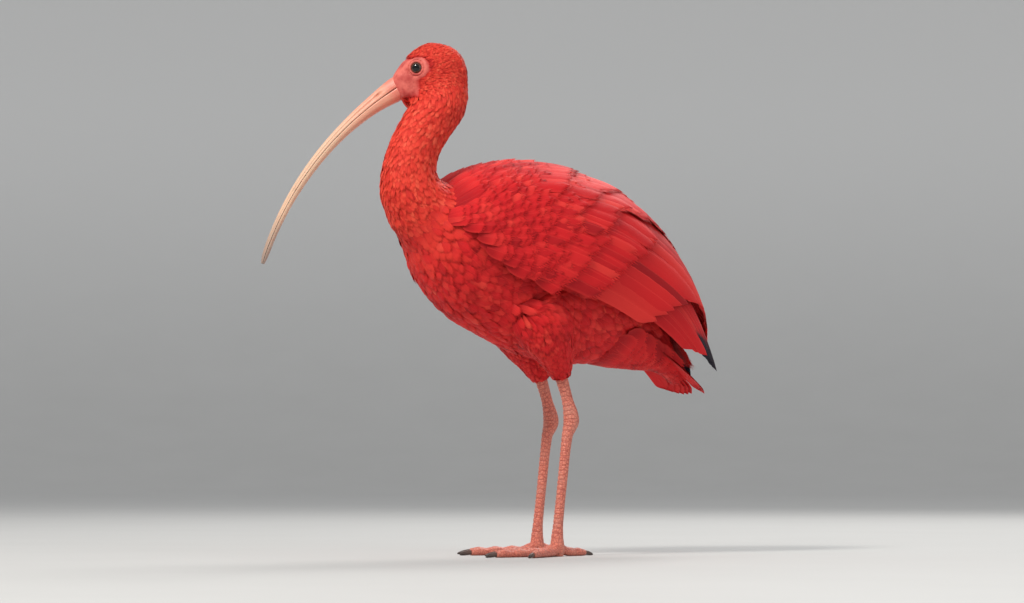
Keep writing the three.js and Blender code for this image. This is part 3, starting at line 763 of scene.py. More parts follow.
def feather_template(columns, rows, fringe, reach=0.22, width=None, taper=0.34):
    """A feather with a round tip and loose barbs.

    Gives each vertex's share of the width, its places across and along, and the faces.
    """
    width = width or through([[0, 0.25], [0.25, 0.72], [0.5, 0.95], [0.7, 1]])
    bm = bmesh.new()
    bmesh.ops.create_grid(bm, x_segments=columns - 1, y_segments=rows - 1, size=1)
    shares = bm.verts.layers.float.new("share")

    def half_at(q):
        return float(width(q)) * math.sqrt(max(1 - (max(q - 1 + taper, 0) / taper) ** 2, 0.012))

    for v in bm.verts:
        p, s = v.co.x, (v.co.y + 1) / 2
        if s < 0.55:
            q = s * (1 - taper) / 0.55
        else:
            q = 1 - taper + taper * math.sin((s - 0.55) / 0.45 * math.pi / 2)
        v[shares] = p
        v.co = (p * half_at(q), q - 0.04 * p * p * q, 0)
    for k in range(fringe):
        turn = (k + 0.5) / fringe * 2 - 1
        q = 1 - taper + (taper - 0.02) * math.cos(turn * math.pi / 2)
        root = math.sin(turn * math.pi / 2) * 0.96
        far = reach * (1 + 0.3 * ((k * 7) % 3 - 1))
        end = (root + 0.6 * far * turn, q + far * (1 - 0.5 * abs(turn)))
        corners = ((root - 0.07, q - 0.02), (root + 0.07, q - 0.02), end)
        barb = [bm.verts.new((x, y, 0)) for x, y in corners]
        for v in barb:
            v[shares] = max(-1, min(1, root))
        bm.faces.new(barb)
    bmesh.ops.triangulate(bm, faces=bm.faces)
    bm.verts.index_update()
    share = np.array([v[shares] for v in bm.verts])
    verts, faces = from_bmesh(bm, outward=False)
    return share, verts[:, 0], verts[:, 1], np.array(faces)


def coat(name, roots, normals, ways, length, width, lift, tone, warmth, template, finish, slot, bake):
    """Feathers laid along the skin, each bent so that its tip stays lift above the skin."""
    _, across, along, faces = template
    count = len(roots)
    yaw = RNG.normal(0, 0.10, count)
    sideways = unit(np.cross(ways, normals))
    ways = unit(ways * np.cos(yaw)[:, None] + sideways * np.sin(yaw)[:, None])
    sideways = unit(np.cross(ways, normals))
    tips = roots + ways * length[:, None]
    tip_normals = np.empty_like(tips)
    for i in range(count):
        at, normal, _, _ = skin_tree.find_nearest(Vector(tips[i]))
        tips[i] = at
        tip_normals[i] = normal
    flipped = np.sum(tip_normals * normals, axis=1) < 0
    tip_normals[flipped] *= -1
    tips += tip_normals * lift[:, None]
    middle = (roots + tips) / 2 + unit(normals + tip_normals) * (lift * 0.75 + length * 0.03)[:, None]
    t = along[None, :, None]
    line = (1 - t) ** 2 * roots[:, None] + 2 * t * (1 - t) * middle[:, None] + t * t * tips[:, None]
    up = unit((1 - t) * normals[:, None] + t * tip_normals[:, None])
    roll = RNG.normal(0, 0.12, count)[:, None, None]
    out = across[None, :, None] * width[:, None, None]
    arch = -0.25 * across[None, :, None] ** 2 * width[:, None, None]
    verts = line + sideways[:, None] * out + up * (arch + roll * out)
    size = verts.shape[1]
    lay = np.broadcast_to(np.stack([across * 0.5 + 0.5, along], -1), (count, size, 2))
    low, high = bake.min(0), bake.max(0)
    centre = 0.01 + 0.98 * (bake - low) / np.maximum(high - low, 1e-6)
    patch = centre[:, None] + np.stack([across, along - 0.5], -1)[None] * 0.0015
    mesh_piece(
        name,
        verts.reshape(-1, 3),
        many(faces, verts),
        finish,
        slot,
        uvs={"lay": lay.reshape(-1, 2), "OFBake": np.clip(patch, 0, 1).reshape(-1, 2)},
        warm=np.repeat(warmth, size),
        tone=np.repeat(tone, size),
    )


def round_angle(points, run):
    """The angle round the spine at each root, for the unwrap."""
    places = np.interp(run, SPINE_RUNS, np.arange(len(SPINE)))
    i = np.clip(places.astype(int), 0, len(SPINE) - 2)
    centre = SPINE[i] + (SPINE[i + 1] - SPINE[i]) * (places - i)[:, None]
    way = unit(SPINE[i + 1] - SPINE[i])
    off = points - centre
    side = np.array([0.0, 1.0, 0.0])
    over = np.cross(way, side)
    return np.arctan2(off @ side, np.sum(off * over, axis=1))


SPINE_RUNS = np.concatenate([[0], np.cumsum(np.linalg.norm(np.diff(SPINE, axis=0), axis=1))])

# The degrees round the trunk between which the folded wing lies, by how far back it is
PAD_UPPER = through([[9, 76], [42, 42], [78, 20], [141, 14]])
PAD_LOWER = through([[9, 90], [42, 110], [92, 111], [141, 104]])
trunk_height = np.where(up_mm > 0, TRUNK_TOP(back_mm), TRUNK_BOTTOM(back_mm))
skin_degrees = np.degrees(np.arctan2(np.abs(left_mm) / TRUNK_HALF(back_mm), up_mm / trunk_height))
under_wing = (
    (back_mm > 22)
    & (back_mm < 215)
    & (skin_degrees > PAD_UPPER(back_mm) + 14)
    & (skin_degrees < PAD_LOWER(back_mm) - 12)
    & (on_neck < 0.2)
    & (on_thigh < 0.1)
)
open_skin = (1 - bare) * np.where(under_wing, 0.0, 1.0)

# Sizes over the skin, in millimetres
thigh_taper = on_thigh * smooth(165, 130, flesh_mm[:, 2])
feather_length = 17 - 7 * on_neck - 5.4 * on_head - 4.5 * on_thigh - 5 * thigh_taper
feather_width = 3.5 - 1.9 * on_neck - 0.75 * on_head - 1.1 * on_thigh - 0.8 * thigh_taper
feather_spacing = 2.65 - 1.05 * on_neck - 0.6 * on_head - 0.6 * on_thigh - 0.5 * thigh_taper
feather_lift = 4.2 - 2.0 * on_neck - 0.9 * on_head - 1.4 * on_thigh - 0.8 * thigh_taper

BODY_FEATHER = feather_template(5, 7, 14, 0.2)
NECK_FEATHER = feather_template(3, 5, 9, 0.3, taper=0.45)
HEAD_FEATHER = feather_template(3, 4, 6, 0.35, taper=0.5)


def laid(name, chosen, tries, template, finish, slot):
    """A coat over the chosen part of the skin."""
    roots, pick, part = scattered(open_skin * chosen, feather_spacing, tries)

    def get(values):
        return interpolated(values, pick, part)

    keep = get(open_skin) > 0.5
    roots, pick, part = roots[keep], pick[keep], part[keep]
    count = len(roots)
    run = get(spine_run)
    coat(
        name,
        roots,
        unit(get(flesh_normals)),
        unit(get(flow)),
        get(feather_length) * RNG.normal(1, 0.1, count),
        get(feather_width) * RNG.normal(1, 0.1, count),
        get(feather_lift) * RNG.uniform(0.75, 1.15, count),
        np.clip(RNG.normal(0.53, 0.16, count), 0, 1),
        np.clip(get(warm) + RNG.normal(0, 0.12, count), 0, 1),
        template,
        finish,
        slot,
        np.stack([round_angle(roots, run), run], 1),
    )


on_body = on_neck < 0.5
laid("body coat", on_body & (left_mm >= 0), 24000, BODY_FEATHER, PLUMAGE, "body_plumage")
laid("body coat right", on_body & (left_mm < 0), 24000, BODY_FEATHER, PLUMAGE, "body_plumage")
laid("neck coat", ~on_body & (on_head < 0.5), 40000, NECK_FEATHER, NECK_PLUMAGE, "neck_plumage")
laid("head coat", on_head >= 0.5, 30000, HEAD_FEATHER, NECK_PLUMAGE, "neck_plumage")


# Wings

LONG_WIDTH = through([[0, 0.45], [0.2, 0.82], [0.5, 1], [0.7, 1]])
FLIGHT_FEATHER = feather_template(9, 20, 0, width=LONG_WIDTH, taper=0.1)
QUILL_WIDTH = through([[0, 0.5], [0.2, 0.95], [0.5, 1], [0.9, 0.82]])
QUILL_FEATHER = feather_template(9, 24, 0, width=QUILL_WIDTH, taper=0.11)
COVERT_FEATHER = feather_template(7, 14, 13, 0.05, LONG_WIDTH, taper=0.17)
SMALL_FEATHER = feather_template(5, 9, 12, 0.12, LONG_WIDTH, taper=0.3)


def lay_of(share, along, count):
    """The map of one feather, for each of count feathers."""
    return np.broadcast_to(np.clip(np.stack([share * 0.5 + 0.5, along], -1), 0, 1), (count, len(share), 2))


# The height of the folded wing's outside over the trunk, and how deep each feather's root lies under it
WING_HEIGHT = through([
    [5, 0.2], [24, 4.2], [54, 8.6], [92, 12.2], [124, 12.8],
    [175, 12.2], [206, 11.8], [270, 6.2], [290, 4],
])
ROOT_DEPTH = 4.6
SHAFT_RISE = 0.22
RIGHT_WING_DROP = 1.3  # so that the left wing covers the right one where they meet


def vanes(
    roots, tips, half, side, feather=COVERT_FEATHER,
    tilt=0.17, raised=0.0, deep=ROOT_DEPTH, lowest=-14.0, drop=0.0,
):
    """Long feathers over the trunk, each from its root to its tip as (back, degrees).

    Each lies over the roots behind it. lowest keeps them from passing far over the spine.
    """
    share, across, along, faces = feather
    count = len(roots)
    half = np.broadcast_to(np.asarray(half, float), (count,))[:, None]
    back = roots[:, :1] + (tips[:, :1] - roots[:, :1]) * along
    degrees = roots[:, 1:] + (tips[:, 1:] - roots[:, 1:]) * along
    out = across * half
    turned = np.maximum(degrees + out / girth(back, degrees), lowest)
    depth_left = deep * np.clip(1 - along, 0, 1) ** 1.15
    lift = WING_HEIGHT(back) - depth_left + (raised + RNG.uniform(-0.3, 0.4, count)[:, None]) * along
    crown = 0.2 * half * (1 - share**2) + np.where(np.abs(share) < 0.1, SHAFT_RISE, 0.0)
    curl = RNG.normal(0, 0.4, count)[:, None] * share * along**2
    flatter = 0.25 + 0.75 * smooth(2, 34, turned)
    verts = around(back, turned, lift + tilt * flatter * out + crown + curl - drop, side)
    return verts, lay_of(share, along, count), faces if side > 0 else faces[:, ::-1]


def tier(count, root, tip, half, side, jitter=1.0, **more):
    """One row of long feathers: root and tip are each [[back, degrees] of the lowest, of the highest]."""
    place = np.linspace(0, 1, count)[:, None]
    root, tip = np.array(root, float), np.array(tip, float)
    roots = root[0] + (root[1] - root[0]) * place
    tips = tip[0] + (tip[1] - tip[0]) * place
    tips[:, 0] += RNG.normal(0, jitter * 1.8, count)
    tips[:, 1] += RNG.normal(0, jitter * 0.8, count)
    return vanes(roots, tips, half * RNG.normal(1, 0.05, count), side, **more)


def feather_piece(name, parts, finish, slot, nodes=(), ink=None):
    """Joins stacks of feathers into one piece. Each feather has a map over it and a cell in the bake's map."""
    verts, lays, faces, tones, numbers = [], [], [], [], []
    offset = total = 0
    for v, lay, f in parts:
        count, size = v.shape[:2]
        verts.append(v.reshape(-1, 3))
        lays.append(lay.reshape(-1, 2))
        faces.append(many(f, v) + offset)
        tones.append(np.repeat(np.clip(RNG.normal(0.52, 0.17, count), 0, 1), size))
        numbers.append(np.repeat(np.arange(total, total + count), size).astype(float))
        offset += count * size
        total += count
    index = np.concatenate(numbers)
    cells = math.ceil(math.sqrt(total))
    verts, lays = np.concatenate(verts), np.concatenate(lays)
    cell = np.stack([index % cells, index // cells], 1)
    mesh_piece(
        name,
        verts,
        np.concatenate(faces),
        finish,
        slot,
        nodes,
        uvs={"lay": lays, "OFBake": (cell + 0.05 + 0.9 * lays) / cells},
        **({"ink": ink(verts, lays)} if ink else {}),
        tone=np.concatenate(tones),
    )


def wing_core(side):
    """The arm and hand under the coverts, sinking into the body round its edge."""
    q = np.linspace(0, 1, 60)
    p = np.linspace(0, 1, 40)
    back = 8 + q * 172
    upper = PAD_UPPER(np.minimum(back, 141)) - 2
    lower = PAD_LOWER(np.minimum(back, 141)) + 1
    degrees = upper[:, None] + (lower - upper)[:, None] * p
    across_edge = np.sqrt(np.clip(1 - (2 * p - 1) ** 6, 0, 1))
    edge = across_edge * np.sqrt(np.clip(1 - (2 * q[:, None] - 1) ** 8, 0, 1))
    lift = -6 + (WING_HEIGHT(back)[:, None] - 6.4 + 6) * edge
    faces = np.array(lattice(60, 40))
    return around(back[:, None], degrees, lift, side), faces if side > 0 else faces[:, ::-1]


def small_coverts(side):
    """Rows of small feathers over the wing's front, growing towards the back."""
    roots, tips, half = [], [], []
    back = 7.0
    row = 0
    while back < 84:
        upper, lower = PAD_UPPER(back) + 1, PAD_LOWER(back) - 1
        length = 10 + 0.15 * back
        width = 2.7 + 0.03 * back
        span = (lower - upper) * float(girth(back, (upper + lower) / 2))
        count = max(3, int(span / (width * 1.02)))
        place = (np.arange(count) + (0.5 if row % 2 else 0.0)) / count
        degrees = upper + (lower - upper) * place + RNG.normal(0, 0.7, count)
        start = back + RNG.normal(0, 0.9, count)
        ends = start + length * RNG.normal(1, 0.07, count)
        roots.append(np.stack([start, degrees], 1))
        swing = (PAD_UPPER(ends) - PAD_UPPER(start)) * (1 - place) * 0.8
        tips.append(np.stack([ends, degrees + swing + RNG.normal(0, 0.9, count)], 1))
        half.append(width * RNG.normal(1, 0.08, count))
        back += 3.6 + 0.028 * back
        row += 1
    stacks = [np.concatenate(stack) for stack in (roots, tips, half)]
    return vanes(*stacks, side, SMALL_FEATHER, tilt=0.05, deep=3.4)


def mantle():
    """Feathers over the spine, closing the back between the two wings."""
    roots, tips, half = [], [], []
    for row, back in enumerate((14, 20, 26, 33, 40, 48, 57, 67, 78, 90, 103, 118, 134)):
        reach = 17 + 0.16 * back
        width = 3.4 + 0.022 * back
        wide = 27 + 34 * float(smooth(62, 16, back))
        count = max(5, int(2 * wide * float(girth(back, 0)) / (width * 1.15)))
        shift = wide / count if row % 2 else 0
        degrees = np.linspace(-wide, wide, count) + shift + RNG.normal(0, 0.8, count)
        start = back + RNG.normal(0, 1.2, count)
        roots.append(np.stack([start, degrees], 1))
        ends = start + reach * RNG.normal(1, 0.07, count)
        tips.append(np.stack([ends, degrees * 0.86 + RNG.normal(0, 0.9, count)], 1))
        half.append(width * RNG.normal(1, 0.07, count))
    long_roots = [[140, -8], [140, 8], [144, 0], [92, -9], [98, -4.5], [104, 0], [98, 4.5], [92, 9]]
    long_tips = [[252, -6], [256, 6], [264, 0], [204, -7], [212, -3.6], [221, 0], [214, 3.6], [206, 7]]
    stacks = [np.concatenate(stack) for stack in (roots, tips, half)]
    short = vanes(*stacks, 1.0, SMALL_FEATHER, tilt=0, deep=3.2, lowest=-90)
    ends = (np.array(places, float) for places in (long_roots, long_tips))
    long = vanes(*ends, 7.5, 1.0, tilt=0, raised=0.2, lowest=-90)
    return [long, short]


QUILL_COUNT = 8
INKED_QUILLS = 4


def ink_of_primaries(verts, lays):
    """Blue-black over the ends of the outer primaries, feathering into the red. The inner ones stay red."""
    rank = np.arange(len(verts)) // (len(verts) // QUILL_COUNT)
    ragged = 0.03 * np.sin(lays[:, 0] * 21) + 0.022 * np.sin(lays[:, 0] * 47 + verts[:, 2])
    ends = smooth(0.66, 0.76, lays[:, 1] + ragged - 0.07 * np.abs(2 * lays[:, 0] - 1))
    return ends * (rank >= QUILL_COUNT - INKED_QUILLS)


for side_name, side in SIDES:
    wing = f"wing_{side_name}"
    under = RIGHT_WING_DROP if side < 0 else 0.0
    core, core_faces = wing_core(side)
    core = core.reshape(-1, 3)
    not_bare = np.zeros(len(core))
    mesh_piece(f"wing core {side_name}", core, core_faces, SKIN, "wing_plumage", (wing,), bare=not_bare)
    secondaries = tier(
        15, [[64, 100], [108, 38]], [[196, 98], [273, -1]], 8.0, side,
        feather=FLIGHT_FEATHER, drop=under,
    )
    greater = tier(15, [[66, 102], [98, 50]], [[136, 102], [176, 48]], 6.8, side, drop=under)
    median = tier(15, [[48, 102], [78, 48]], [[108, 103], [142, 46]], 6.2, side, jitter=1.6, drop=under)
    lesser = tier(16, [[32, 101], [60, 42]], [[84, 103], [116, 44]], 5.4, side, jitter=1.6, drop=under)
    scapulars = tier(10, [[70, 44], [88, 12]], [[150, 42], [216, 8]], 7.2, side, raised=0.3, drop=under)
    shorter = tier(9, [[52, 46], [64, 14]], [[118, 44], [158, 10]], 6.4, side, raised=0.5, drop=under)
    shoulder = tier(9, [[34, 50], [42, 18]], [[92, 46], [112, 13]], 5.6, side, raised=0.6, drop=under)
    of_wing = (WING_PLUMAGE, "wing_plumage", (wing,))
    feather_piece(f"flight feathers {side_name}", [secondaries, greater], *of_wing)
    feather_piece(f"coverts {side_name}", [median, lesser, small_coverts(side)], *of_wing)
    feather_piece(f"scapulars {side_name}", [scapulars, shorter, shoulder], *of_wing)
    primaries = tier(
        QUILL_COUNT, [[158, 92], [172, 62]], [[243, 92], [282, 60]], 6.4, side,
        jitter=0.5, deep=6.6, raised=-1.4, feather=QUILL_FEATHER,
    )
    of_primaries = (QUILLS, "dark_quills", (f"primaries_{side_name}",))
    feather_piece(f"primary feathers {side_name}", [primaries], *of_primaries, ink=ink_of_primaries)
feather_piece("mantle feathers", mantle(), WING_PLUMAGE, "body_plumage")


# Tail

def tail_feathers(count, root, reach, half, up, spread, fall):
    """Feathers fanned over the tail, the middle ones uppermost."""
    share, across, along, faces = FLIGHT_FEATHER
    stacks = []
    for rank in range(count):
        for side in (1, -1):
            base = spread[0] + spread[1] * rank
            end = spread[2] + spread[3] * rank
            out = side * (base + (end - base) * along) + across * half
            back = root + (reach - 0.5 * rank**2 - root) * along
            height = up + fall * rank - 0.004 * out**2 - side * share * 0.25 + 0.06 * half * (1 - share**2)
            stacks.append(body_point(back, out, height - 0.35 * (side < 0)))
    return np.stack(stacks), lay_of(share, along, len(stacks)), faces[:, ::-1]


def tail_coverts(above):
    """Small feathers that close the tail's root."""
    share, across, along, faces = SMALL_FEATHER
    stacks = []
    upper = [[190, 42], [200, 36], [225, 17], [250, 0], [275, -4]]
    lower = [[190, 47], [200, 42], [225, 29], [250, 15], [275, 11]]
    outline = through(upper if above else lower)
    half = through([[190, 27], [200, 24], [225, 17], [250, 12], [280, 14]])
    for row in range(11):
        count = 12 - row // 2
        for k in range(count):
            place = (k + 0.5 * (row % 2)) / (count - 1) * 2 - 1
            start = 186 + 4.6 * row + RNG.normal(0, 0.9)
            reach = 22 + 1.2 * row + RNG.normal(0, 1.2)
            back = start + reach * along
            out = place * half(back) * 0.9 + across * 3.6
            dome = np.sqrt(np.clip(1 - (out / (half(back) + 4)) ** 2, 0.02, 1))
            rise = 0.6 + 2.6 * along
            if above:
                height = outline(back) * np.where(outline(back) > 0, dome, 1)
                stacks.append(body_point(back, out, height + rise))
            else:
                stacks.append(body_point(back, out, -outline(back) * dome - rise))
    return np.stack(stacks), lay_of(share, along, len(stacks)), faces[:, ::-1] if above else faces


rectrices = tail_feathers(6, 214, 288, 6.6, -6, (4.2, 1.2, 6.9, 2.7), -1.05)
tail_stacks = [rectrices, tail_coverts(above=True), tail_coverts(above=False)]
feather_piece("tail feathers", tail_stacks, WING_PLUMAGE, "wing_plumage", ("tail",))


# Bill

BILL_ABOVE = through([[0, 8.4], [0.12, 6.6], [0.3, 5], [0.6, 3.7], [0.85, 2.8], [0.96, 2.3], [1, 1.2]])
BILL_BELOW = through([[0, 8.2], [0.12, 5.8], [0.3, 4], [0.6, 3], [0.85, 2.3], [0.96, 1.9], [1, 0.9]])
BILL_HALF = through([[0, 7], [0.12, 5.6], [0.3, 4.5], [0.6, 3.6], [0.85, 3], [0.96, 2.6], [1, 1.3]])


def bill_half(upper):
    """One half of the bill as rings from the mouth line over its outside and back along the flat inside."""
    t = -0.03 + 1.03 * np.linspace(0, 1, 150) ** 0.92
    turn = BILL_START + BILL_BEND * t
    x = BILL_ROOT[0] + BILL_RADIUS * (np.sin(turn) - math.sin(BILL_START))
    z = BILL_ROOT[1] - BILL_RADIUS * (math.cos(BILL_START) - np.cos(turn))
    upward = np.stack([np.sin(turn), np.zeros_like(t), np.cos(turn)], -1)
    half = BILL_HALF(t)
    tall = BILL_ABOVE(t) if upper else BILL_BELOW(t)
    angle = np.linspace(0, math.pi, 37)
    sign = 1 if upper else -1
    shape = np.abs(np.sin(angle)) ** (0.9 if upper else 0.8)
    y = half[:, None] * np.sign(np.cos(angle)) * np.abs(np.cos(angle)) ** 0.85
    height = tall[:, None] * shape
    if upper:
        groove_at = 0.42 * (1 - 0.15 * t)[:, None]
        height_part = shape[None, :]
        fading = (smooth(0.03, 0.09, t) * (1 - 0.55 * smooth(0.7, 1, t)))[:, None]
        groove = np.exp(-(((height_part - groove_at) / 0.09) ** 2)) * fading
        y = y * (1 - 0.14 * groove)
        height = height - 0.2 * groove
        nostril = np.exp(-(((t - 0.075) / 0.017) ** 2))[:, None]
        slit = nostril * np.exp(-(((height_part - 0.47) / 0.11) ** 2))
        y = y * (1 - 0.26 * slit)
    gap = 0.16 + 0.12 * (1 - smooth(0, 0.1, t))
    base = (-0.4 + sign * gap)[:, None]
    height = base + sign * height
    middle = np.stack([x, np.zeros_like(t), z], -1)[:, None]
    leftward = np.array([0.0, 1.0, 0.0])
    curve = middle + upward[:, None] * height[..., None] + leftward * y[..., None]
    inner_share = np.linspace(-1, 1, 9)[1:-1]
    inner_y = inner_share * half[:, None] * 0.96
    dip = sign * 0.5 * (1 - inner_share**2)
    inner = middle + upward[:, None] * (base + dip)[..., None] + leftward * inner_y[..., None]
    rings = np.concatenate([curve, inner], 1)
    along = np.repeat(t, rings.shape[1])
    around_ring = np.tile(np.linspace(0, 1, rings.shape[1]), len(t))
    verts, faces = tube(head_points(rings.reshape(-1, 3)).reshape(rings.shape))
    lay = np.concatenate([np.stack([around_ring, along], 1), [[0.5, 0.0], [0.5, 1.0]]])
    return verts, faces, lay


for bill_name, is_upper in (("bill_upper", True), ("bill_lower", False)):
    verts, faces, lay = bill_half(is_upper)
    mesh_piece(bill_name + " horn", verts, faces, BILL, "bill", (bill_name,), uvs={"lay": lay})


# Eyes

def across_axis(axis):
    """An axis of length 1 and two directions across it."""
    axis = Vector(axis).normalized()
    first = axis.cross(Vector((0, 0, 1))).normalized()
    return axis, first, axis.cross(first)


def lid(centre, axis, radius, thick, folds):
    """A wrinkled ring of skin round an axis."""
    axis, first, second = across_axis(axis)
    centre = Vector(centre)
    bm = bmesh.new()
    for v in bmesh.ops.create_circle(bm, segments=14, radius=thick)["verts"]:
        v.co = centre + first * (radius + v.co.x) + axis * v.co.y
    spun(bm, bm.verts[:] + bm.edges[:], centre, axis, 72)
    for v in bm.verts:
        spoke = v.co - centre
        turn = math.atan2(spoke.dot(second), spoke.dot(first))
        middle = centre + (first * math.cos(turn) + second * math.sin(turn)) * radius
        v.co = middle + (v.co - middle) * (1 + folds * math.sin(turn * 19) * math.sin(turn * 7 + 1))
    return from_bmesh(bm, settle=True)


def eyeball(centre, axis, radius):
    """A ball with a raised cornea. Its map has the pupil in the middle and the eye's back round the edge."""
    axis, first, second = across_axis(axis)
    bm = bmesh.new()
    bmesh.ops.create_uvsphere(bm, u_segments=48, v_segments=40, radius=1)
    local = np.array([v.co[:] for v in bm.verts])
    for v in bm.verts:
        theta = math.acos(max(-1, min(1, v.co.z)))
        v.co *= radius * (1 + 0.05 * math.exp(-((theta / 0.75) ** 2)))
        v.co = Vector(centre) + first * v.co.x + second * v.co.y + axis * v.co.z
    theta = np.arccos(np.clip(local[:, 2], -1, 1))
    spread = local[:, :2] / np.maximum(np.linalg.norm(local[:, :2], axis=1, keepdims=True), 1e-6)
    verts, faces = from_bmesh(bm, settle=True)
    return verts, faces, 0.5 + spread * (theta / math.pi * 0.49)[:, None]


EYE_FORWARD = math.radians(12)
lids = []
for side_name, side in SIDES:
    centre = head_points([[10, 11.3 * side, 5]])[0]
    ahead = [10 + math.sin(EYE_FORWARD), 11.3 * side + math.cos(EYE_FORWARD) * side, 5]
    facing = head_points([ahead])[0] - centre
    verts, faces, lay = eyeball(centre, facing, EYE_RADIUS)
    mesh_piece(f"eye {side_name}", verts, faces, EYES, "eyes", (f"eye_{side_name}",), uvs={"lay": lay})
    lid_centre = head_points([[10.6, 13.9 * side, 5]])[0]
    lids.append(lid(lid_centre, facing, 4.7, 0.95, 0.14))
    lids.append(lid(lid_centre - unit(facing) * 0.8, facing, 6.1, 0.8, 0.25))
verts, faces = join_parts(lids)
mesh_piece("eyelids", verts, faces, SKIN, "neck_plumage", ("head",), bare=np.ones(len(verts)))


# Legs and feet

def swept(path, radii, columns=28, rows=120, relief=None):
    """Rings along a curve through the path's points. relief(place along 0 to 1, angle) swells each ring."""
    path = np.array(path, float)
    steps = np.concatenate([[0], np.cumsum(np.linalg.norm(np.diff(path, axis=0), axis=1))])
    steps /= steps[-1]
    lines = [through(np.stack([steps, path[:, k]], 1)) for k in range(3)]
    radius = through(np.stack([steps, radii], 1))
    t = np.linspace(0, 1, rows)
    centre = np.stack([line(t) for line in lines], 1)
    way = unit(np.gradient(centre, axis=0))
    level = abs(way[0, 2]) < 0.8
    side = unit(np.cross(way, [0.0, 0.0, 1.0] if level else [1.0, 0.0, 0.0]))
    over = np.cross(side, way)
    angle = np.linspace(0, 2 * math.pi, columns, endpoint=False)
    r = radius(t)[:, None] * np.ones(columns)
    seam = np.zeros((rows, columns))
    if relief is not None:
        swell, seam = relief(t[:, None], angle[None, :])
        r = r + swell
    sideways = side[:, None] * (r * np.cos(angle))[..., None]
    rings = centre[:, None] + sideways + over[:, None] * (r * np.sin(angle))[..., None]
    verts, faces = tube(rings)
    seam = np.concatenate([np.broadcast_to(seam, (rows, columns)).ravel(), [0, 0]])
    return verts, faces, seam


def scutes(count, facing, reach=1.25, deep=0.4):
    """Broad plates across the front of a leg or the top of a toe."""
    def relief(t, angle):
        off_front = np.abs((angle - facing + math.pi) % (2 * math.pi) - math.pi)
        inside = smooth(reach + 0.25, reach - 0.15, off_front)
        phase = (t * count) % 1.0
        plate = smooth(0.0, 0.16, phase) * smooth(1.0, 0.8, phase)
        return (plate - 0.5) * deep * inside, (1 - plate) * inside
    return relief


def toe_heading(heading, side):
    """The way a toe points. Degrees are towards the bird's middle."""
    turn = -side * math.radians(heading)
    return np.array([math.cos(turn), math.sin(turn), 0.0])


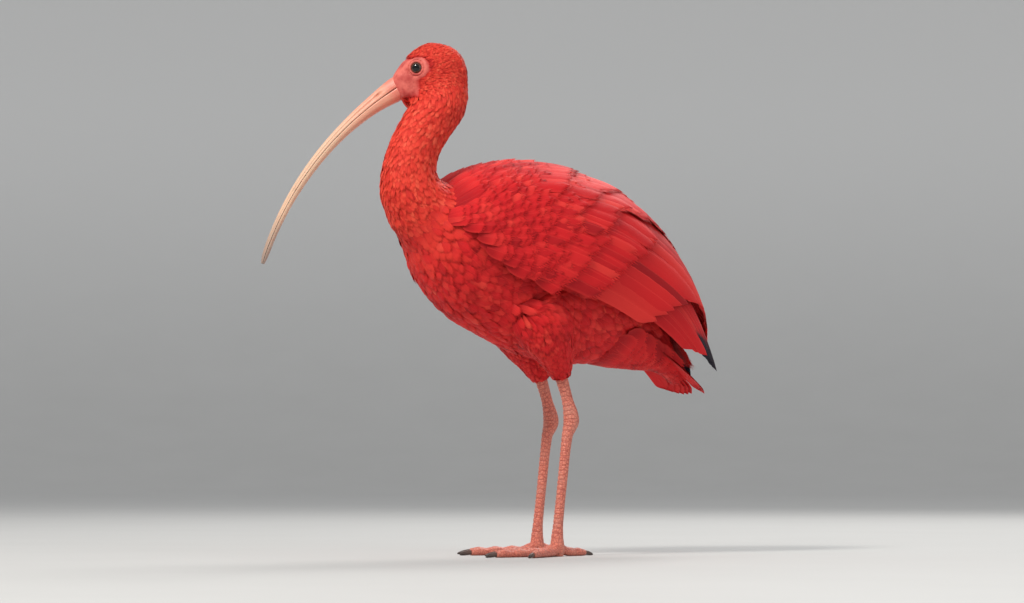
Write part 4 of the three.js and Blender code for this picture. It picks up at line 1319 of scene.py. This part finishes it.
# The shank from the feathers to the foot: how far behind the foot, how high and how thick
SHANK = (
    (3.6, 128, 4.4), (9, 112, 4.0), (12.5, 97, 5.6), (9, 86, 3.9),
    (5, 56, 3.4), (1, 24, 3.5), (0, 12.8, 4.3),
)
TOE_HEADINGS = {toe[0]: toe[1] for toe in TOES}
CLAW_ROWS, CLAW_COLUMNS = 30, 18
for side_name, side in SIDES:
    x, y = FOOT_X[side_name], side * FOOT_SPREAD
    shank = [[x - behind, y, high] for behind, high, _ in SHANK]
    thickness = [thick for _, _, thick in SHANK]
    verts, faces, seam = swept(shank, thickness, rows=300, relief=scutes(34, math.pi / 2, 1.3))
    mesh_piece(f"shank {side_name}", verts, faces, LEGS, "leg_skin", (f"shank_{side_name}",), seam=seam)
    dome = swept([[x, y, 14], [x, y, 9], [x, y, 4], [x, y, 0.05]], [4.2, 4.9, 5.3, 4.2], rows=40)
    parts, seams = [dome[:2]], [dome[2]]
    for toe, heading, length, pads in TOES:
        way = toe_heading(heading, side)
        at = np.array([x, y, 0.0])
        stations = np.linspace(0, 1, 4 * pads + 1)
        height = through([[-1, 9], [5, 5], [12, 2.9], [0.6 * length, 2.5], [length, 2.3]])
        run = stations * length
        points = at + way * run[:, None]
        points[:, 2] = height(run)
        thick = 3.3 - 0.9 * stations - 0.28 * np.cos(stations * pads * 2 * math.pi)
        points[:, 2] = np.maximum(points[:, 2], thick + 0.02)
        plates = scutes(4 * pads + 3, math.pi / 2, 1.1, 0.18)
        verts, faces, seam = swept(points, thick, columns=20, rows=110, relief=plates)
        verts[:, 2] = np.maximum(verts[:, 2], 0.0)
        parts.append((verts, faces))
        seams.append(seam)
        side_way = np.array([-way[1], way[0], 0])
        out = np.linspace(0, 1, CLAW_ROWS)
        middle = at + way * (length + 0.35 - 1.2 + 10.2 * out)[:, None]
        middle[:, 2] = 2.3 - 1.55 * out**1.6
        r = 1.75 * np.sqrt(np.clip(1 - out**2.2, 0.006, 1))
        angle = np.linspace(0, 2 * math.pi, CLAW_COLUMNS, endpoint=False)
        sideways = side_way * (0.82 * r[:, None] * np.cos(angle))[..., None]
        rings = middle[:, None] + sideways + np.array([0, 0, 1.0]) * (r[:, None] * np.sin(angle))[..., None]
        rings[..., 2] = np.maximum(rings[..., 2], 0.05)
        verts, faces = tube(rings)
        rings_lay = np.stack([np.tile(angle / 6.3, CLAW_ROWS), np.repeat(out, CLAW_COLUMNS)], 1)
        lay = np.concatenate([rings_lay, [[0.5, 0], [0.5, 1]]])
        names = (f"claw_{side_name}_{toe}",)
        mesh_piece(f"claw {side_name} {toe}", verts, faces, CLAWS, "claws", names, uvs={"lay": lay})
    for a, b in (("middle", "inner"), ("middle", "outer")):
        one, two = (toe_heading(TOE_HEADINGS[toe], side) for toe in (a, b))
        bm = bmesh.new()
        bmesh.ops.create_grid(bm, x_segments=13, y_segments=11, size=1)
        for vert in bm.verts:
            u, v = (vert.co.x + 1) / 2, (vert.co.y + 1) / 2
            hollow = 1 - (2 * u - 1) ** 2
            way = unit(one * (1 - u) + two * u) * (3 + v * (15 - 4.5 * hollow))
            vert.co = (x + way[0], y + way[1], 3.4 - 1.9 * v - 0.5 * hollow)
        under = bmesh.ops.extrude_face_region(bm, geom=bm.faces[:], use_keep_orig=True)["geom"]
        for element in under:
            if isinstance(element, bmesh.types.BMVert):
                element.co.z = 0.35
        parts.append(from_bmesh(bm, settle=True))
        seams.append(np.zeros(len(parts[-1][0])))
    verts, faces = join_parts(parts)
    seam = np.concatenate(seams)
    mesh_piece(f"foot {side_name}", verts, faces, LEGS, "leg_skin", (f"foot_{side_name}",), seam=seam)


# Studio

def studio_bowl():
    """A pale floor that curves up far away on every side, so that no edge shows."""
    bm = bmesh.new()
    turns = [math.radians(a) for a in range(0, 91, 4)]
    profile = [(0, 0), (1, 0), (3, 0)] + [(5 + 3 * math.sin(a), 3 - 3 * math.cos(a)) for a in turns]
    verts = [bm.verts.new((r, 0, z)) for r, z in profile]
    edges = [bm.edges.new(pair) for pair in zip(verts, verts[1:])]
    spun(bm, verts + edges, (0, 0, 0), (0, 0, 1), 96)
    bmesh.ops.remove_doubles(bm, verts=bm.verts, dist=1e-5)
    bm.normal_update()
    if sum(f.normal.z for f in bm.faces) < 0:
        bmesh.ops.reverse_faces(bm, faces=bm.faces)
    verts, faces = from_bmesh(bm, outward=False, settle=True)
    me = mesh_of("studio floor", verts, faces)
    m, tree, shader = material("studio floor", Roughness=0.7)
    place = object_place(tree)
    split = tree.nodes.new("ShaderNodeSeparateXYZ")
    tree.links.new(place, split.inputs[0])
    level = mixed(tree, noise(tree, 6, 4, place), *FLOOR_TONES)
    # Painted light: the curving wall is coloured paler than the floor, to make up for the less light that
    # reaches it.
    colour = mixed(tree, ranged(tree, split.outputs[2], 0.0, 1.2), level, WALL_TONE)
    surfaced(tree, shader, colour)
    me.materials.append(m)
    return object_of("studio floor", me)


studio_bowl()


def aimed(ob, place, way):
    """Puts a light or a camera at a place, looking along a way."""
    ob.location = place
    ob.rotation_mode = "QUATERNION"
    ob.rotation_quaternion = way.to_track_quat("-Z", "Y")


def softbox(name, place, size, power, colour):
    """A soft light that faces the middle of the bird. power is in watts."""
    data = bpy.data.lights.new(name, "AREA")
    data.shape = "RECTANGLE"
    data.size, data.size_y = size
    data.energy = power
    data.color = colour
    aimed(object_of(name, data), place, Vector((0, 0, 0.2)) - Vector(place))


CENTRE = Vector((0.0, 0.0, 0.183))
AZIMUTH, ELEVATION, DISTANCE = math.radians(145), math.radians(-3), 2.3
BACK = Vector((
    math.sin(AZIMUTH) * math.cos(ELEVATION),
    -math.cos(AZIMUTH) * math.cos(ELEVATION),
    math.sin(ELEVATION),
))
LEFT_OF_VIEW = Vector((-BACK.y, BACK.x, 0)).normalized()


def about(sideways, towards, height):
    """A place in the studio, by the viewer's left, towards the viewer and up."""
    level = Vector((BACK.x, BACK.y, 0)).normalized()
    return tuple(-LEFT_OF_VIEW * sideways + level * towards + Vector((0, 0, height)))


softbox("key", about(1.1, 1.5, 1.9), (0.45, 0.45), 46, (1.0, 0.965, 0.91))
softbox("fill", about(-1.7, 1.3, 0.9), (1.4, 1.4), 6, (0.93, 0.96, 1.0))
softbox("rim", about(-0.7, -1.5, 1.5), (0.8, 0.8), 18, (1.0, 0.98, 0.95))
softbox("overhead", (0.0, 0.0, 3.2), (3.2, 3.2), 5, (1.0, 1.0, 1.0))

world = bpy.data.worlds.new("studio")
bpy.context.scene.world = world
world.use_nodes = True
sky = world.node_tree.nodes["Background"].inputs
sky["Color"].default_value = (0.97, 0.98, 1.0, 1)
sky["Strength"].default_value = 0.6

camera_data = bpy.data.cameras.new("camera")
camera_data.lens = 112
camera_data.sensor_width = 36
camera = object_of("camera", camera_data)
aimed(camera, CENTRE + BACK * DISTANCE, -BACK)
bpy.context.scene.camera = camera
bpy.context.scene.view_settings.view_transform = "Standard"
